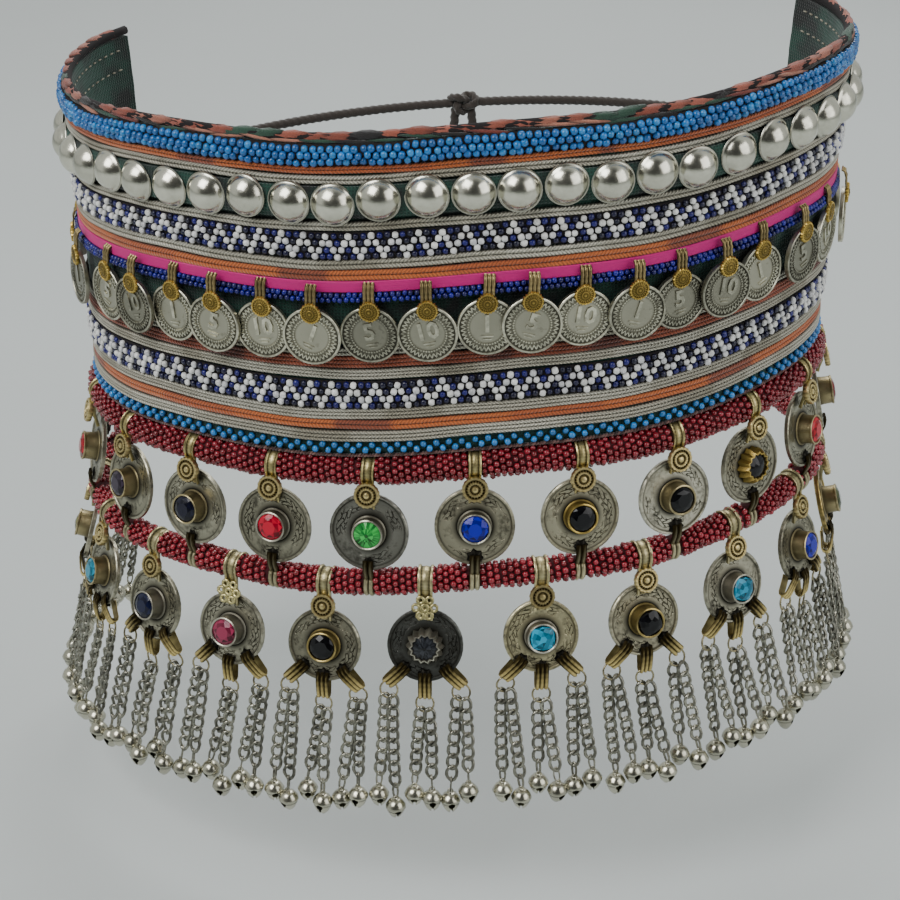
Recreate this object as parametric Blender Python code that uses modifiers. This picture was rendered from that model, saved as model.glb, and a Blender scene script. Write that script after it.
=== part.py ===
"""Coin belt, in its worn form: a stiff cloth band curved round a waist, open at the back, where
two cotton ties close it. Braids, bead work, metal domes and coins are sewn on the band. Below
it, round medallions with set stones hang between two red bead ropes, and the lower ones carry
chains with bells.

Lengths are in millimetres until a mesh is made, which is in metres. The origin is the centre
of the ring at the height of the coins, with +Z up, the wearer's front at -Y and the belt's
right end, as seen from the front, at +X. A place is a distance along the belt from its front
centre, a height is measured on the surface the belt is worn on, and out is the distance from
that surface.
"""

import bisect
import math

import bmesh
import bpy
from mathutils import Matrix, Vector

MM = 0.001

# The worn ring
BAND_HALF_LENGTH = 238.0  # from the front centre to each end of the band
DEPTH_RATIO = 0.72  # front to back against side to side
REFERENCE_HALF_WIDTH = 142.0  # the ring that places are measured on
SLANT = 0.0717  # the belt is worn askew and rises this much for each mm towards +X
SWAY = 0.8  # slow wave of the hand sewn rows
SWAY_LENGTH = 118.0
STATIONS = 22
FLARE = (
    # height, half width of the surface at that height
    (-205.0, 165.0),
    (-187.0, 160.0),
    (-140.0, 147.0),
    (-99.4, 140.5),
    (-55.6, 136.9),
    (-47.0, 137.5),
    (0.0, 139.0),
    (45.0, 140.5),
    (72.0, 142.3),
)

# The band and what is sewn on it
BAND_TOP = 64.4
BAND_BOTTOM = -49.9
CLOTH = 2.4
SEAM = 0.3  # clearance between pieces that touch
FUSED = 0.15  # how far pieces of one body reach into each other
STEP = 0.1  # keeps two faces of one body out of the same plane
BINDING_RADIUS = 2.0
TRIMS = (
    # name, low edge, high edge, thickness, bevel, material
    ("orange_braid_upper", 54.4, 57.1, 1.2, 0.0, "orange_braid"),
    ("silver_braid_upper", 51.0, 54.1, 1.3, 0.0, "silver_braid"),
    ("silver_braid_under_domes", 34.4, 37.6, 1.3, 0.0, "silver_braid"),
    ("bead_panel_upper", 24.6, 34.1, 1.9, 0.0, "navy_bead_panel"),
    ("silver_braid_over_coins", 20.7, 24.3, 1.3, 0.0, "silver_braid"),
    ("orange_braid_over_coins", 16.5, 20.4, 1.2, 0.0, "orange_braid"),
    ("pink_satin_strip", 13.2, 16.2, 0.9, 0.0, "pink_satin"),
    ("silver_braid_behind_coins", -10.9, -7.9, 1.2, 0.0, "silver_braid"),
    ("rust_braid_behind_coins", -15.7, -11.2, 1.2, 0.0, "rust_braid"),
    ("silver_braid_under_coins", -19.8, -16.0, 1.3, 0.0, "silver_braid"),
    ("bead_panel_lower", -31.0, -20.6, 1.9, 0.0, "navy_bead_panel"),
    ("silver_braid_lower", -35.4, -31.3, 1.3, 0.0, "silver_braid"),
    ("orange_braid_lower", -39.4, -35.7, 1.2, 0.0, "orange_braid"),
    ("silver_braid_hem", -43.9, -39.7, 1.5, 0.0, "silver_braid"),
    ("blue_bead_roll", 57.4, 64.9, 3.1, 1.1, "blue_beads"),
)
DOME_ROW_LOW = 39.0
DOME_ROW_HIGH = 50.4
DOME_BED = 2.6
DOME_HEIGHT = 45.2
DOME_RADIUS = 7.2
DOME_PITCH = 15.3
DOME_START = -5.1
DOME_SHOULDER_RADIUS = 4.7
DOME_SHOULDER = 3.6
DOME_CROWN = 4.9
DOME_END_MARGIN = 0.8
NAVY_ROLL_LOW = 9.5
NAVY_ROLL_HIGH = 12.9
NAVY_ROLL = 3.0
COIN_RADIUS = 9.9
COIN_THICKNESS = 1.4
COIN_HEIGHT = -2.0
COIN_BACK = 2.7
COIN_BAIL_WIDTH = 3.8
COIN_BAIL_LAP = 1.4  # over the coin's edge
COIN_BAIL_TOP = 2.9  # above the navy roll
COIN_LAP = 1.9  # how far every second coin stands in front of its neighbours
COIN_PLACES = (
    -224.0, -203.0, -180.5, -158.0, -135.5, -117.0, -99.0, -80.5, -62.5, -44.0, -24.3, -4.7,
    15.1, 30.0, 47.8, 66.0, 82.5, 99.9, 116.5, 137.0, 158.5, 180.0, 202.0, 223.0,
)

# The ropes and what hangs on them
ROPE_UPPER_HEIGHT = -55.6
ROPE_UPPER_RADIUS = 5.3
ROPE_LOWER_HEIGHT = -99.4
ROPE_LOWER_RADIUS = 4.7
STRAP_CLEARANCE = 0.9
STRAP_THICKNESS = 0.8
STRAP_BEND = 48.0  # degrees that one flat of a strap spans
UPPER_MEDALLION_PLACES = (
    -206.0, -170.0, -133.0, -97.0, -62.5, -26.5, 11.5, 49.5, 86.0, 120.5, 155.0, 190.0,
)
LOWER_MEDALLION_PLACES = (
    -223.0, -187.5, -151.5, -115.5, -79.0, -42.5, -6.0, 35.0, 73.0, 110.5, 147.5, 184.5,
)
UPPER_DISC_RADIUS = 14.0
UPPER_DISC_DROP = 23.7  # from the rope's centre to the disc's
UPPER_CAP_DROP = 6.9
UPPER_CAP_BACK = 4.6
UPPER_CAP_FRONT = 6.7
UPPER_STRAP_FOOT = -13.5
UNDER_STRAP_LAP = 5.0  # over the disc's lower edge
UPPER_STRAP_ANGLES = (-38.0, 75.0)  # round the front of the rope, up to the band's hem
LOWER_STRAP_ANGLES = (44.0, -132.0)  # from above the lower rope to behind it
LOWER_DISC_RADIUS = 13.4
LOWER_DISC_DROP = 25.2
LOWER_CAP_DROP = 8.2
LOWER_CAP_BACK = 3.4
LOWER_CAP_FRONT = 5.4
TOP_STRAP_FOOT = -14.5
TOP_STRAP_ANGLES = (-40.0, 140.0)
STRAP_FOOT_OUT = 1.7  # inside the disc's thickness
STRAP_WIDTH = 4.0
LOWER_STRAP_WIDTH = 4.8
DISC_BACK = 1.2
DISC_FRONT = 2.6
BEZEL_RADIUS = 5.4
BEZEL_TAPER = 0.3
BEZEL_FRONT = 9.6
CAP_RADIUS = 4.2
CHAIN_BAIL_ANGLES = (-42.0, 0.0, 42.0)
CHAIN_BAIL_REACH = 20.5
CHAIN_BAIL_FOOT = 11.5  # from the disc's centre, inside its rim
CHAIN_BAIL_WIDTH = 5.6
CHAIN_BAIL_FRONT = 3.8
CHAIN_BAIL_MIDDLE = 2.55
CHAIN_ROOT_SPACING = 3.2
CHAIN_ROOT_RADIUS = 1.0
CHAIN_ROOT_INSET = 0.8
CHAIN_RADIUS = 1.45
CHAIN_SPACING = 5.95  # between neighbouring bells, as places
BELL_RADIUS = 3.15
BELL_HEIGHT = -184.6
BELL_SHOULDER = 5.6
BELL_TIP = 3.8
BELL_TIP_RADIUS = 1.3
BELL_STAGGER = 2.2

# The ties
TIE_RADIUS = 2.0
TIE_HEIGHT = 12.0
TIE_POINTS = 13
TIE_END_POINTS = 9
TIE_END_START = 3.2  # beside the knot's middle
TIE_END_LEAN = 1.6  # away from the wearer at the lower end
TIE_END_LENGTH = 78.0
TIE_END_TOP = 5.05  # below the knot's centre
TIE_END_SPREAD = 5.2
KNOT_HALF_WIDTH = 7.0
KNOT_HALF_DEPTH = 4.2
KNOT_HALF_HEIGHT = 5.0

MATERIALS = {
    # name: red, green, blue, roughness, metallic
    "black_green_cotton": (0.012, 0.035, 0.028, 0.9, 0.0),
    "rust_cotton_binding": (0.45, 0.13, 0.08, 0.9, 0.0),
    "blue_beads": (0.03, 0.24, 0.62, 0.25, 0.0),
    "orange_braid": (0.55, 0.14, 0.03, 0.8, 0.0),
    "rust_braid": (0.35, 0.08, 0.03, 0.85, 0.0),
    "silver_braid": (0.42, 0.40, 0.34, 0.5, 0.6),
    "nickel_dome": (0.62, 0.60, 0.52, 0.25, 1.0),
    "navy_bead_panel": (0.02, 0.02, 0.08, 0.35, 0.0),
    "pink_satin": (0.60, 0.0, 0.16, 0.5, 0.0),
    "coin_cupronickel": (0.40, 0.39, 0.33, 0.4, 1.0),
    "ruby_bead_rope": (0.35, 0.01, 0.03, 0.3, 0.0),
    "pewter_medallion": (0.34, 0.32, 0.25, 0.45, 1.0),
    "white_cotton_cord": (0.70, 0.66, 0.58, 0.9, 0.0),
}


def between(table, at):
    """The value of a table of pairs at a place between two of its rows."""
    keys = [row[0] for row in table]
    i = min(max(bisect.bisect_right(keys, at) - 1, 0), len(table) - 2)
    (low, first), (high, second) = table[i], table[i + 1]
    return first + (second - first) * (at - low) / (high - low)


def turn_table():
    """The place on the reference ring for each half degree of turn from the front centre."""
    rows = [(0.0, 0.0)]
    step = math.radians(0.5)
    for i in range(360):
        middle = (i + 0.5) * step
        along = REFERENCE_HALF_WIDTH * math.hypot(
            math.cos(middle), DEPTH_RATIO * math.sin(middle)
        )
        rows.append((rows[-1][0] + along * step, (i + 1) * step))
    return tuple(rows)


TURNS = turn_table()


def turn_at(place):
    return math.copysign(between(TURNS, abs(place)), place)


def place_at(turn):
    return math.copysign(between(tuple((b, a) for a, b in TURNS), abs(turn)), turn)


END_TURN = turn_at(BAND_HALF_LENGTH)
STATION_PLACES = [
    place_at(END_TURN * (2.0 * i / STATIONS - 1.0)) for i in range(STATIONS + 1)
]


def outward(place):
    """The level direction away from the wearer at a place."""
    turn = turn_at(place)
    return Vector((DEPTH_RATIO * math.sin(turn), -math.cos(turn), 0.0)).normalized()


def ring_point(place, height, out):
    """A point of the smooth surface."""
    turn = turn_at(place)
    half = between(FLARE, height)
    spot = Vector((half * math.sin(turn), -DEPTH_RATIO * half * math.cos(turn), height))
    spot += outward(place) * out
    spot.z += SLANT * spot.x + SWAY * math.sin(math.tau * place / SWAY_LENGTH + 0.6)
    return spot


def belt_point(place, height, out):
    """A point of the surface as it is built, flat from one station to the next."""
    i = min(max(bisect.bisect_right(STATION_PLACES, place) - 1, 0), STATIONS - 1)
    first, second = STATION_PLACES[i], STATION_PLACES[i + 1]
    share = (place - first) / (second - first)
    return ring_point(first, height, out).lerp(ring_point(second, height, out), share)


def placed(place, height, out, below=None):
    """A frame on the belt: X runs along it, Y up its slope towards the given height, Z out."""
    spot = belt_point(place, height, out)
    side = Vector((0.0, 0.0, 1.0)).cross(outward(place))
    up = Vector((0.0, 0.0, 1.0))
    if below is not None:
        up = (spot - belt_point(place, below, out)).normalized()
    up = (up - side * up.dot(side)).normalized()
    frame = Matrix((side, up, side.cross(up))).transposed().to_4x4()
    frame.translation = spot
    return frame


def new_object(name, mesh):
    made = bpy.data.objects.new(name, mesh)
    belt.objects.link(made)
    return made


def mesh_from(name, points, faces):
    mesh = bpy.data.meshes.new(name)
    mesh.from_pydata([Vector(p) * MM for p in points], [], faces)
    return mesh


def finish(made, material):
    made.data.materials.clear()
    made.data.materials.append(material_for(material))
    made.data.shade_smooth()
    made.data.set_sharp_from_angle(angle=math.radians(35.0))
    return made


def material_for(name):
    found = bpy.data.materials.get(name)
    if found:
        return found
    red, green, blue, roughness, metallic = MATERIALS[name]
    made = bpy.data.materials.new(name)
    made.use_nodes = True
    shader = made.node_tree.nodes["Principled BSDF"]
    shader.inputs["Base Color"].default_value = (red, green, blue, 1.0)
    shader.inputs["Roughness"].default_value = roughness
    shader.inputs["Metallic"].default_value = metallic
    return made


def evaluated_mesh(made):
    """The mesh of an object with its modifiers or its curve worked out, caps welded on."""
    bpy.context.view_layer.update()
    depsgraph = bpy.context.evaluated_depsgraph_get()
    mesh = bpy.data.meshes.new_from_object(made.evaluated_get(depsgraph))
    work = bmesh.new()
    work.from_mesh(mesh)
    work.transform(made.matrix_world)
    bmesh.ops.remove_doubles(work, verts=work.verts, dist=0.00001)
    work.to_mesh(mesh)
    work.free()
    return mesh


def baked(made):
    """The object replaced by its plain mesh, with its place in the mesh."""
    mesh = evaluated_mesh(made)
    name = made.name
    bpy.data.objects.remove(made)
    return new_object(name, mesh)


def gathered(name, pieces):
    """Pieces that stand clear of each other as one mesh, to join something in one cut."""
    work = bmesh.new()
    for piece in pieces:
        mesh = evaluated_mesh(piece)
        work.from_mesh(mesh)
        bpy.data.objects.remove(piece)
    mesh = bpy.data.meshes.new(name)
    work.to_mesh(mesh)
    work.free()
    return new_object(name, mesh)


def fused(name, base, others):
    """One body from a base and the pieces that run into it."""
    base = baked(base)
    for other in others:
        union = base.modifiers.new(other.name, "BOOLEAN")
        union.operation = "UNION"
        union.solver = "EXACT"
        union.object = other
    whole = baked(base)
    for other in others:
        bpy.data.objects.remove(other)
    whole.name = name
    return whole


def columns(start, end):
    """The places of a strip's cross sections: its ends and the stations between them."""
    inner = [p for p in STATION_PLACES if start + 1.0 < p < end - 1.0]
    return [start] + inner + [end]


def sewn_strip(name, heights, out, thickness, offset, start=None, end=None):
    """An open surface along the belt, given its thickness outward (1) or inward (-1)."""
    start = -BAND_HALF_LENGTH if start is None else start
    end = BAND_HALF_LENGTH if end is None else end
    places = columns(start, end)
    rows = len(heights)
    points = [belt_point(place, height, out) for place in places for height in heights]
    faces = []
    for i in range(len(places) - 1):
        for j in range(rows - 1):
            corner = i * rows + j
            faces.append((corner, corner + rows, corner + rows + 1, corner + 1))
    made = new_object(name, mesh_from(name, points, faces))
    wall = made.modifiers.new("wall", "SOLIDIFY")
    wall.thickness = thickness * MM
    wall.offset = offset
    return made


def turned(name, profile, steps, frame):
    """A piece turned about its frame's Z, from a profile of radius and distance out."""
    points = [(radius, 0.0, out) for radius, out in profile]
    mesh = bpy.data.meshes.new(name)
    edges = [(i, i + 1) for i in range(len(points) - 1)]
    mesh.from_pydata([Vector(p) * MM for p in points], edges, [])
    made = new_object(name, mesh)
    screw = made.modifiers.new("turned", "SCREW")
    screw.axis = "Z"
    screw.steps = steps
    screw.render_steps = steps
    screw.use_merge_vertices = True
    screw.merge_threshold = 0.00001
    made.matrix_world = metres(frame)
    return made


def metres(frame):
    scaled = frame.copy()
    scaled.translation = frame.translation * MM
    return scaled


def block(name, low, high, frame):
    """A block between two corners given in a frame."""
    work = bmesh.new()
    bmesh.ops.create_cube(work, size=1.0)
    middle = (Vector(low) + Vector(high)) / 2.0
    size = Vector(high) - Vector(low)
    for vert in work.verts:
        vert.co = Vector(
            (
                vert.co.x * size.x + middle.x,
                vert.co.y * size.y + middle.y,
                vert.co.z * size.z + middle.z,
            )
        )
        vert.co *= MM
    mesh = bpy.data.meshes.new(name)
    work.to_mesh(mesh)
    work.free()
    made = new_object(name, mesh)
    made.matrix_world = metres(frame)
    return made


def tube(name, points, radii, resolution):
    """A tube along points, with its radius at each."""
    curve = bpy.data.curves.new(name, "CURVE")
    curve.dimensions = "3D"
    curve.bevel_depth = MM
    curve.bevel_resolution = resolution
    curve.use_fill_caps = True
    curve.twist_mode = "MINIMUM"
    spline = curve.splines.new("POLY")
    spline.points.add(len(points) - 1)
    for knot, point, radius in zip(spline.points, points, radii):
        knot.co = (*(Vector(point) * MM), 1.0)
        knot.radius = radius
    return new_object(name, curve)


def strap(name, rope_radius, rope_drop, width, angles, foot, frame):
    """A metal strap from its foot on a disc, bent round a rope.

    The angles go from straight out towards up, and the foot is a height and a distance out.
    """
    first, last = angles
    steps = math.ceil(abs(last - first) / STRAP_BEND)
    radius = rope_radius + STRAP_CLEARANCE
    line = [foot]
    for i in range(steps + 1):
        angle = math.radians(first + (last - first) * i / steps)
        line.append((radius * math.sin(angle) - rope_drop, radius * math.cos(angle)))
    points = [(x, y, z) for y, z in line for x in (-width / 2.0, width / 2.0)]
    faces = []
    for i in range(len(line) - 1):
        corner = 2 * i
        faces.append((corner, corner + 1, corner + 3, corner + 2))
    made = new_object(name, mesh_from(name, points, faces))
    wall = made.modifiers.new("wall", "SOLIDIFY")
    wall.thickness = STRAP_THICKNESS * MM
    wall.offset = 1.0 if last > first else -1.0
    made.matrix_world = metres(frame)
    return made


def medallion_profile(radius):
    """Disc and the tube that holds its stone, from the stone's face to the back's centre."""
    return (
        (0.0, BEZEL_FRONT),
        (BEZEL_RADIUS - BEZEL_TAPER, BEZEL_FRONT),
        (BEZEL_RADIUS, DISC_FRONT),
        (radius, DISC_FRONT),
        (radius, DISC_BACK),
        (0.0, DISC_BACK),
    )


def make_band():
    heights = (BAND_BOTTOM, 0.0, 45.0, BAND_TOP)
    band = baked(sewn_strip("band_cloth", heights, 0.0, CLOTH, -1.0))
    finish(band, "black_green_cotton")


def make_binding():
    middle = BAND_TOP + SEAM + BINDING_RADIUS
    points = [belt_point(place, middle, -CLOTH / 2.0) for place in STATION_PLACES]
    binding = tube("edge_binding", points, [BINDING_RADIUS] * len(points), 1)
    finish(baked(binding), "rust_cotton_binding")


def make_trims():
    for name, low, high, thickness, bevel, material in TRIMS:
        trim = sewn_strip(name, (low, high), SEAM, thickness, 1.0)
        if bevel:
            rounding = trim.modifiers.new("rounding", "BEVEL")
            rounding.width = bevel * MM
            rounding.segments = 1
            rounding.limit_method = "ANGLE"
            rounding.angle_limit = math.radians(60.0)
        finish(baked(trim), material)


def make_domes():
    bed = sewn_strip(
        "dome_row", (DOME_ROW_LOW, DOME_ROW_HIGH), SEAM, DOME_BED - SEAM, 1.0
    )
    back = DOME_BED - FUSED
    profile = (
        (0.0, back + DOME_CROWN),
        (DOME_SHOULDER_RADIUS, back + DOME_SHOULDER),
        (DOME_RADIUS, back),
        (0.0, back),
    )
    reach = BAND_HALF_LENGTH - DOME_RADIUS - DOME_END_MARGIN
    first = math.ceil((-reach - DOME_START) / DOME_PITCH)
    last = math.floor((reach - DOME_START) / DOME_PITCH)
    domes = []
    for i in range(first, last + 1):
        frame = placed(DOME_START + i * DOME_PITCH, DOME_HEIGHT, 0.0)
        domes.append(turned("dome", profile, 8, frame))
    row = fused("dome_row", bed, [gathered("domes", domes)])
    finish(row, "nickel_dome")


def make_coins():
    roll = sewn_strip(
        "coin_row", (NAVY_ROLL_LOW, NAVY_ROLL_HIGH), SEAM, NAVY_ROLL - SEAM, 1.0
    )
    coins = []
    bails = []
    for i, place in enumerate(COIN_PLACES):
        back = COIN_BACK + COIN_LAP * (i % 2)
        front = back + COIN_THICKNESS
        frame = placed(place, COIN_HEIGHT, 0.0)
        coin = ((0.0, front), (COIN_RADIUS, front), (COIN_RADIUS, back), (0.0, back))
        coins.append(turned("coin", coin, 10, frame))
        half = COIN_BAIL_WIDTH / 2.0
        low = (-half, COIN_RADIUS - COIN_BAIL_LAP, NAVY_ROLL - FUSED)
        high = (half, NAVY_ROLL_HIGH - COIN_HEIGHT + COIN_BAIL_TOP, front - STEP)
        bails.append(block("bail", low, high, frame))
    groups = [gathered("bails", bails), gathered("coins", coins)]
    finish(fused("coin_row", roll, groups), "coin_cupronickel")


def make_rope(name, height, radius):
    points = [belt_point(place, height, 0.0) for place in STATION_PLACES]
    rope = tube(name, points, [radius] * len(points), 2)
    finish(baked(rope), "ruby_bead_rope")


def rope_cap(frame, drop, back, front):
    """The small round boss on a strap's foot, below the rope."""
    profile = ((0.0, front), (CAP_RADIUS, front), (CAP_RADIUS, back), (0.0, back))
    return turned("cap", profile, 6, frame @ Matrix.Translation((0.0, -drop, 0.0)))


def make_upper_medallion(number, place):
    frame = placed(place, ROPE_UPPER_HEIGHT, 0.0, ROPE_LOWER_HEIGHT)
    drop = (frame.translation - belt_point(place, ROPE_LOWER_HEIGHT, 0.0)).length
    centre = frame @ Matrix.Translation((0.0, -UPPER_DISC_DROP, 0.0))
    disc = turned("disc", medallion_profile(UPPER_DISC_RADIUS), 10, centre)
    cap = rope_cap(frame, UPPER_CAP_DROP, UPPER_CAP_BACK, UPPER_CAP_FRONT)
    foot = (UPPER_STRAP_FOOT, STRAP_FOOT_OUT)
    over = strap("over", ROPE_UPPER_RADIUS, 0.0, STRAP_WIDTH, UPPER_STRAP_ANGLES, foot, frame)
    foot = (UNDER_STRAP_LAP - UPPER_DISC_DROP - UPPER_DISC_RADIUS, STRAP_FOOT_OUT)
    width = LOWER_STRAP_WIDTH
    under = strap("under", ROPE_LOWER_RADIUS, drop, width, LOWER_STRAP_ANGLES, foot, frame)
    name = f"upper_medallion_{number:02d}"
    finish(fused(name, disc, [over, cap, under]), "pewter_medallion")


def chain(place, number, offset, root):
    """One chain with its bell, from its root in a bail to the flared lower edge."""
    end = place + offset
    drop = BELL_HEIGHT + BELL_STAGGER * math.sin(2.3 * number + 1.7 * place)
    shoulder = belt_point(end, drop + BELL_SHOULDER, 0.0)
    equator = belt_point(end, drop, 0.0)
    tip = belt_point(end, drop - BELL_TIP, 0.0)
    radii = (CHAIN_ROOT_RADIUS, CHAIN_RADIUS, BELL_RADIUS, BELL_TIP_RADIUS)
    return tube("chain", (root, shoulder, equator, tip), radii, 0)


def make_lower_medallion(number, place):
    frame = placed(place, ROPE_LOWER_HEIGHT, 0.0, -140.0)
    centre = frame @ Matrix.Translation((0.0, -LOWER_DISC_DROP, 0.0))
    disc = turned("disc", medallion_profile(LOWER_DISC_RADIUS), 10, centre)
    cap = rope_cap(frame, LOWER_CAP_DROP, LOWER_CAP_BACK, LOWER_CAP_FRONT)
    foot = (TOP_STRAP_FOOT, STRAP_FOOT_OUT)
    over = strap("over", ROPE_LOWER_RADIUS, 0.0, STRAP_WIDTH, TOP_STRAP_ANGLES, foot, frame)
    bails = []
    chains = []
    for side, angle in enumerate(CHAIN_BAIL_ANGLES):
        fan = centre @ Matrix.Rotation(math.radians(angle), 4, "Z")
        half = CHAIN_BAIL_WIDTH / 2.0
        low = (-half, -CHAIN_BAIL_REACH, DISC_BACK + STEP)
        bails.append(block("bail", low, (half, -CHAIN_BAIL_FOOT, CHAIN_BAIL_FRONT), fan))
        apart = CHAIN_ROOT_SPACING / 2.0 / math.cos(math.radians(angle))
        for hand in (-1, 1):
            index = 2 * side + (hand > 0)
            inset = CHAIN_ROOT_INSET - CHAIN_BAIL_REACH
            root = fan @ Vector((hand * apart, inset, CHAIN_BAIL_MIDDLE))
            chains.append(chain(place, index, CHAIN_SPACING * (index - 2.5), root))
    groups = [gathered("bails", bails), gathered("chains", chains)]
    name = f"lower_medallion_{number:02d}"
    finish(fused(name, disc, [over, cap] + groups), "pewter_medallion")


def make_medallions():
    for number, place in enumerate(UPPER_MEDALLION_PLACES, 1):
        make_upper_medallion(number, place)
    for number, place in enumerate(LOWER_MEDALLION_PLACES, 1):
        make_lower_medallion(number, place)


def tie_point(turn, side):
    """A point of the tie's run across the wearer's back."""
    half = between(FLARE, TIE_HEIGHT) - CLOTH / 2.0
    x = side * half * math.sin(turn)
    return Vector((x, -DEPTH_RATIO * half * math.cos(turn), TIE_HEIGHT + SLANT * x))


def make_tie(side, word):
    """One tie: the run from the band's end to the knot, and the free end below the knot."""
    knot_turn = math.pi - math.asin((KNOT_HALF_WIDTH + SEAM) / REFERENCE_HALF_WIDTH)
    start_turn = END_TURN + (SEAM + 0.1) / REFERENCE_HALF_WIDTH / DEPTH_RATIO
    count = TIE_POINTS
    run = [
        tie_point(start_turn + (knot_turn - start_turn) * i / count, side)
        for i in range(count + 1)
    ]
    finish(baked(tube(f"tie_run_{word}", run, [TIE_RADIUS] * len(run), 2)), "white_cotton_cord")
    back = tie_point(math.pi, side)
    end = []
    for i in range(TIE_END_POINTS + 1):
        share = i / TIE_END_POINTS
        sideways = side * (TIE_END_START + TIE_END_SPREAD * share * (1.4 - 0.4 * share))
        below = TIE_END_TOP + TIE_END_LENGTH * share
        end.append(back + Vector((sideways, 0.4 + TIE_END_LEAN * share, -below)))
    finish(baked(tube(f"tie_end_{word}", end, [TIE_RADIUS] * len(end), 2)), "white_cotton_cord")


def make_knot():
    work = bmesh.new()
    bmesh.ops.create_uvsphere(work, u_segments=10, v_segments=6, radius=1.0)
    half = Vector((KNOT_HALF_WIDTH - SEAM, KNOT_HALF_DEPTH, KNOT_HALF_HEIGHT))
    for vert in work.verts:
        vert.co = Vector((vert.co.x * half.x, vert.co.y * half.y, vert.co.z * half.z)) * MM
    mesh = bpy.data.meshes.new("tie_knot")
    work.to_mesh(mesh)
    work.free()
    knot = new_object("tie_knot", mesh)
    knot.location = tie_point(math.pi, 1.0) * MM
    finish(baked(knot), "white_cotton_cord")


for old in list(bpy.data.objects):
    bpy.data.objects.remove(old)
belt = bpy.data.collections.new("coin_belt")
bpy.context.scene.collection.children.link(belt)

make_band()
make_binding()
make_trims()
make_domes()
make_coins()
make_rope("bead_rope_upper", ROPE_UPPER_HEIGHT, ROPE_UPPER_RADIUS)
make_rope("bead_rope_lower", ROPE_LOWER_HEIGHT, ROPE_LOWER_RADIUS)
make_medallions()
make_tie(-1.0, "left")
make_tie(1.0, "right")
make_knot()
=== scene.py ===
# %% [markdown]
# # A coin belt
# This belt is a stiff cloth band covered with braids, glass beads, pressed metal domes and coins.
# Below it, round medallions with glass stones hang between two red bead ropes, and chains with
# bells hang from the lower medallions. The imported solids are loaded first, as a fixed frame.
# Every piece below is then drawn finely in the place of its solid.

# %% Load the frame
import bisect
import math
import random

import bmesh
import bpy
from mathutils import Matrix, Vector


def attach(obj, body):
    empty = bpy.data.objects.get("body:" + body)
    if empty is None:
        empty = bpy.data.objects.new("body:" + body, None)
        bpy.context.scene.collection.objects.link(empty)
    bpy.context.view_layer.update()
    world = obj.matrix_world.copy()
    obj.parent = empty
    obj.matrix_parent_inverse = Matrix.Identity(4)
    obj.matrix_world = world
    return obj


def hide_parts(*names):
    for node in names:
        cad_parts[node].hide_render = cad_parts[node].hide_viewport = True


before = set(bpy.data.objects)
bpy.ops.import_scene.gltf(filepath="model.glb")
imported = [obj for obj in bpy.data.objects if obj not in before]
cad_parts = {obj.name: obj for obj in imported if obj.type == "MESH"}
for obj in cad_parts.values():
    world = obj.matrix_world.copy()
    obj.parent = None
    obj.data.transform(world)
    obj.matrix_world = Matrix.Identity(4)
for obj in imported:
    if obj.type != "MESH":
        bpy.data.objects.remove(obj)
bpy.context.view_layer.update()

MM = 0.001
print("solids:", len(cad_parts))

# %% [markdown]
# ## The camera
# The camera stands a little to the right, above the belt, and looks down at it. Its place was
# found by fitting the rows of the belt to where they show in the picture. A long lens keeps the
# nearer beads from looking too big.

# %% Place the camera
CAMERA_PLACE = Vector((28.7, -747.2, 284.3)) * MM
CAMERA_AIM = Vector((-1.5, 0.0, -99.6)) * MM
camera_data = bpy.data.cameras.new("camera")
camera_data.lens = 84.42
camera_data.sensor_width = 36.0
camera = bpy.data.objects.new("camera", camera_data)
camera.location = CAMERA_PLACE
camera.rotation_euler = (CAMERA_AIM - CAMERA_PLACE).to_track_quat("-Z", "Y").to_euler()
bpy.context.scene.collection.objects.link(camera)
bpy.context.scene.camera = camera
print("camera is", round((CAMERA_AIM - CAMERA_PLACE).length, 3), "m away")

# %% [markdown]
# ## The worn ring
# All rows run round an oval ring that flares towards the hips. A place is a distance in
# millimetres along the belt from its front centre, a height is measured on the surface, and out
# is the distance from it. One function turns these three numbers into a point, so every row
# bends with the belt by itself. A half degree table gives the turn for each place.

# %% The ring's measures
BAND_HALF_LENGTH = 238.0
DEPTH_RATIO = 0.72
REFERENCE_HALF_WIDTH = 142.0
SLANT = 0.0717
SWAY = 0.8
SWAY_LENGTH = 118.0
SWAY_START = 0.6
FLARE = (
    # height, half width of the surface at that height
    (-205.0, 165.0), (-187.0, 160.0), (-140.0, 147.0), (-99.4, 140.5), (-55.6, 136.9),
    (-47.0, 137.5), (0.0, 139.0), (45.0, 140.5), (72.0, 142.3),
)


def between(table, at):
    """The value of a table of pairs at a place between two of its rows."""
    i = min(max(bisect.bisect_right(table, (at, math.inf)) - 1, 0), len(table) - 2)
    (low, first), (high, second) = table[i], table[i + 1]
    return first + (second - first) * (at - low) / (high - low)


def turn_table():
    """The place on the reference ring for each half degree of turn."""
    rows = [(0.0, 0.0)]
    step = math.radians(0.5)
    for i in range(360):
        middle = (i + 0.5) * step
        along = REFERENCE_HALF_WIDTH * math.hypot(math.cos(middle), DEPTH_RATIO * math.sin(middle))
        rows.append((rows[-1][0] + along * step, (i + 1) * step))
    return rows


TURNS = turn_table()
print("the whole ring is", round(2 * TURNS[-1][0]), "mm round")

# %% Points and frames on the ring


def turn_at(place):
    return math.copysign(between(TURNS, abs(place)), place)


def outward(place):
    """The level direction away from the wearer."""
    turn = turn_at(place)
    return Vector((DEPTH_RATIO * math.sin(turn), -math.cos(turn), 0.0)).normalized()


def ring_point(place, height, out):
    turn = turn_at(place)
    half = between(FLARE, height)
    spot = Vector((half * math.sin(turn), -DEPTH_RATIO * half * math.cos(turn), height))
    spot += outward(place) * out
    spot.z += SLANT * spot.x + SWAY * math.sin(math.tau * place / SWAY_LENGTH + SWAY_START)
    return spot


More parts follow.
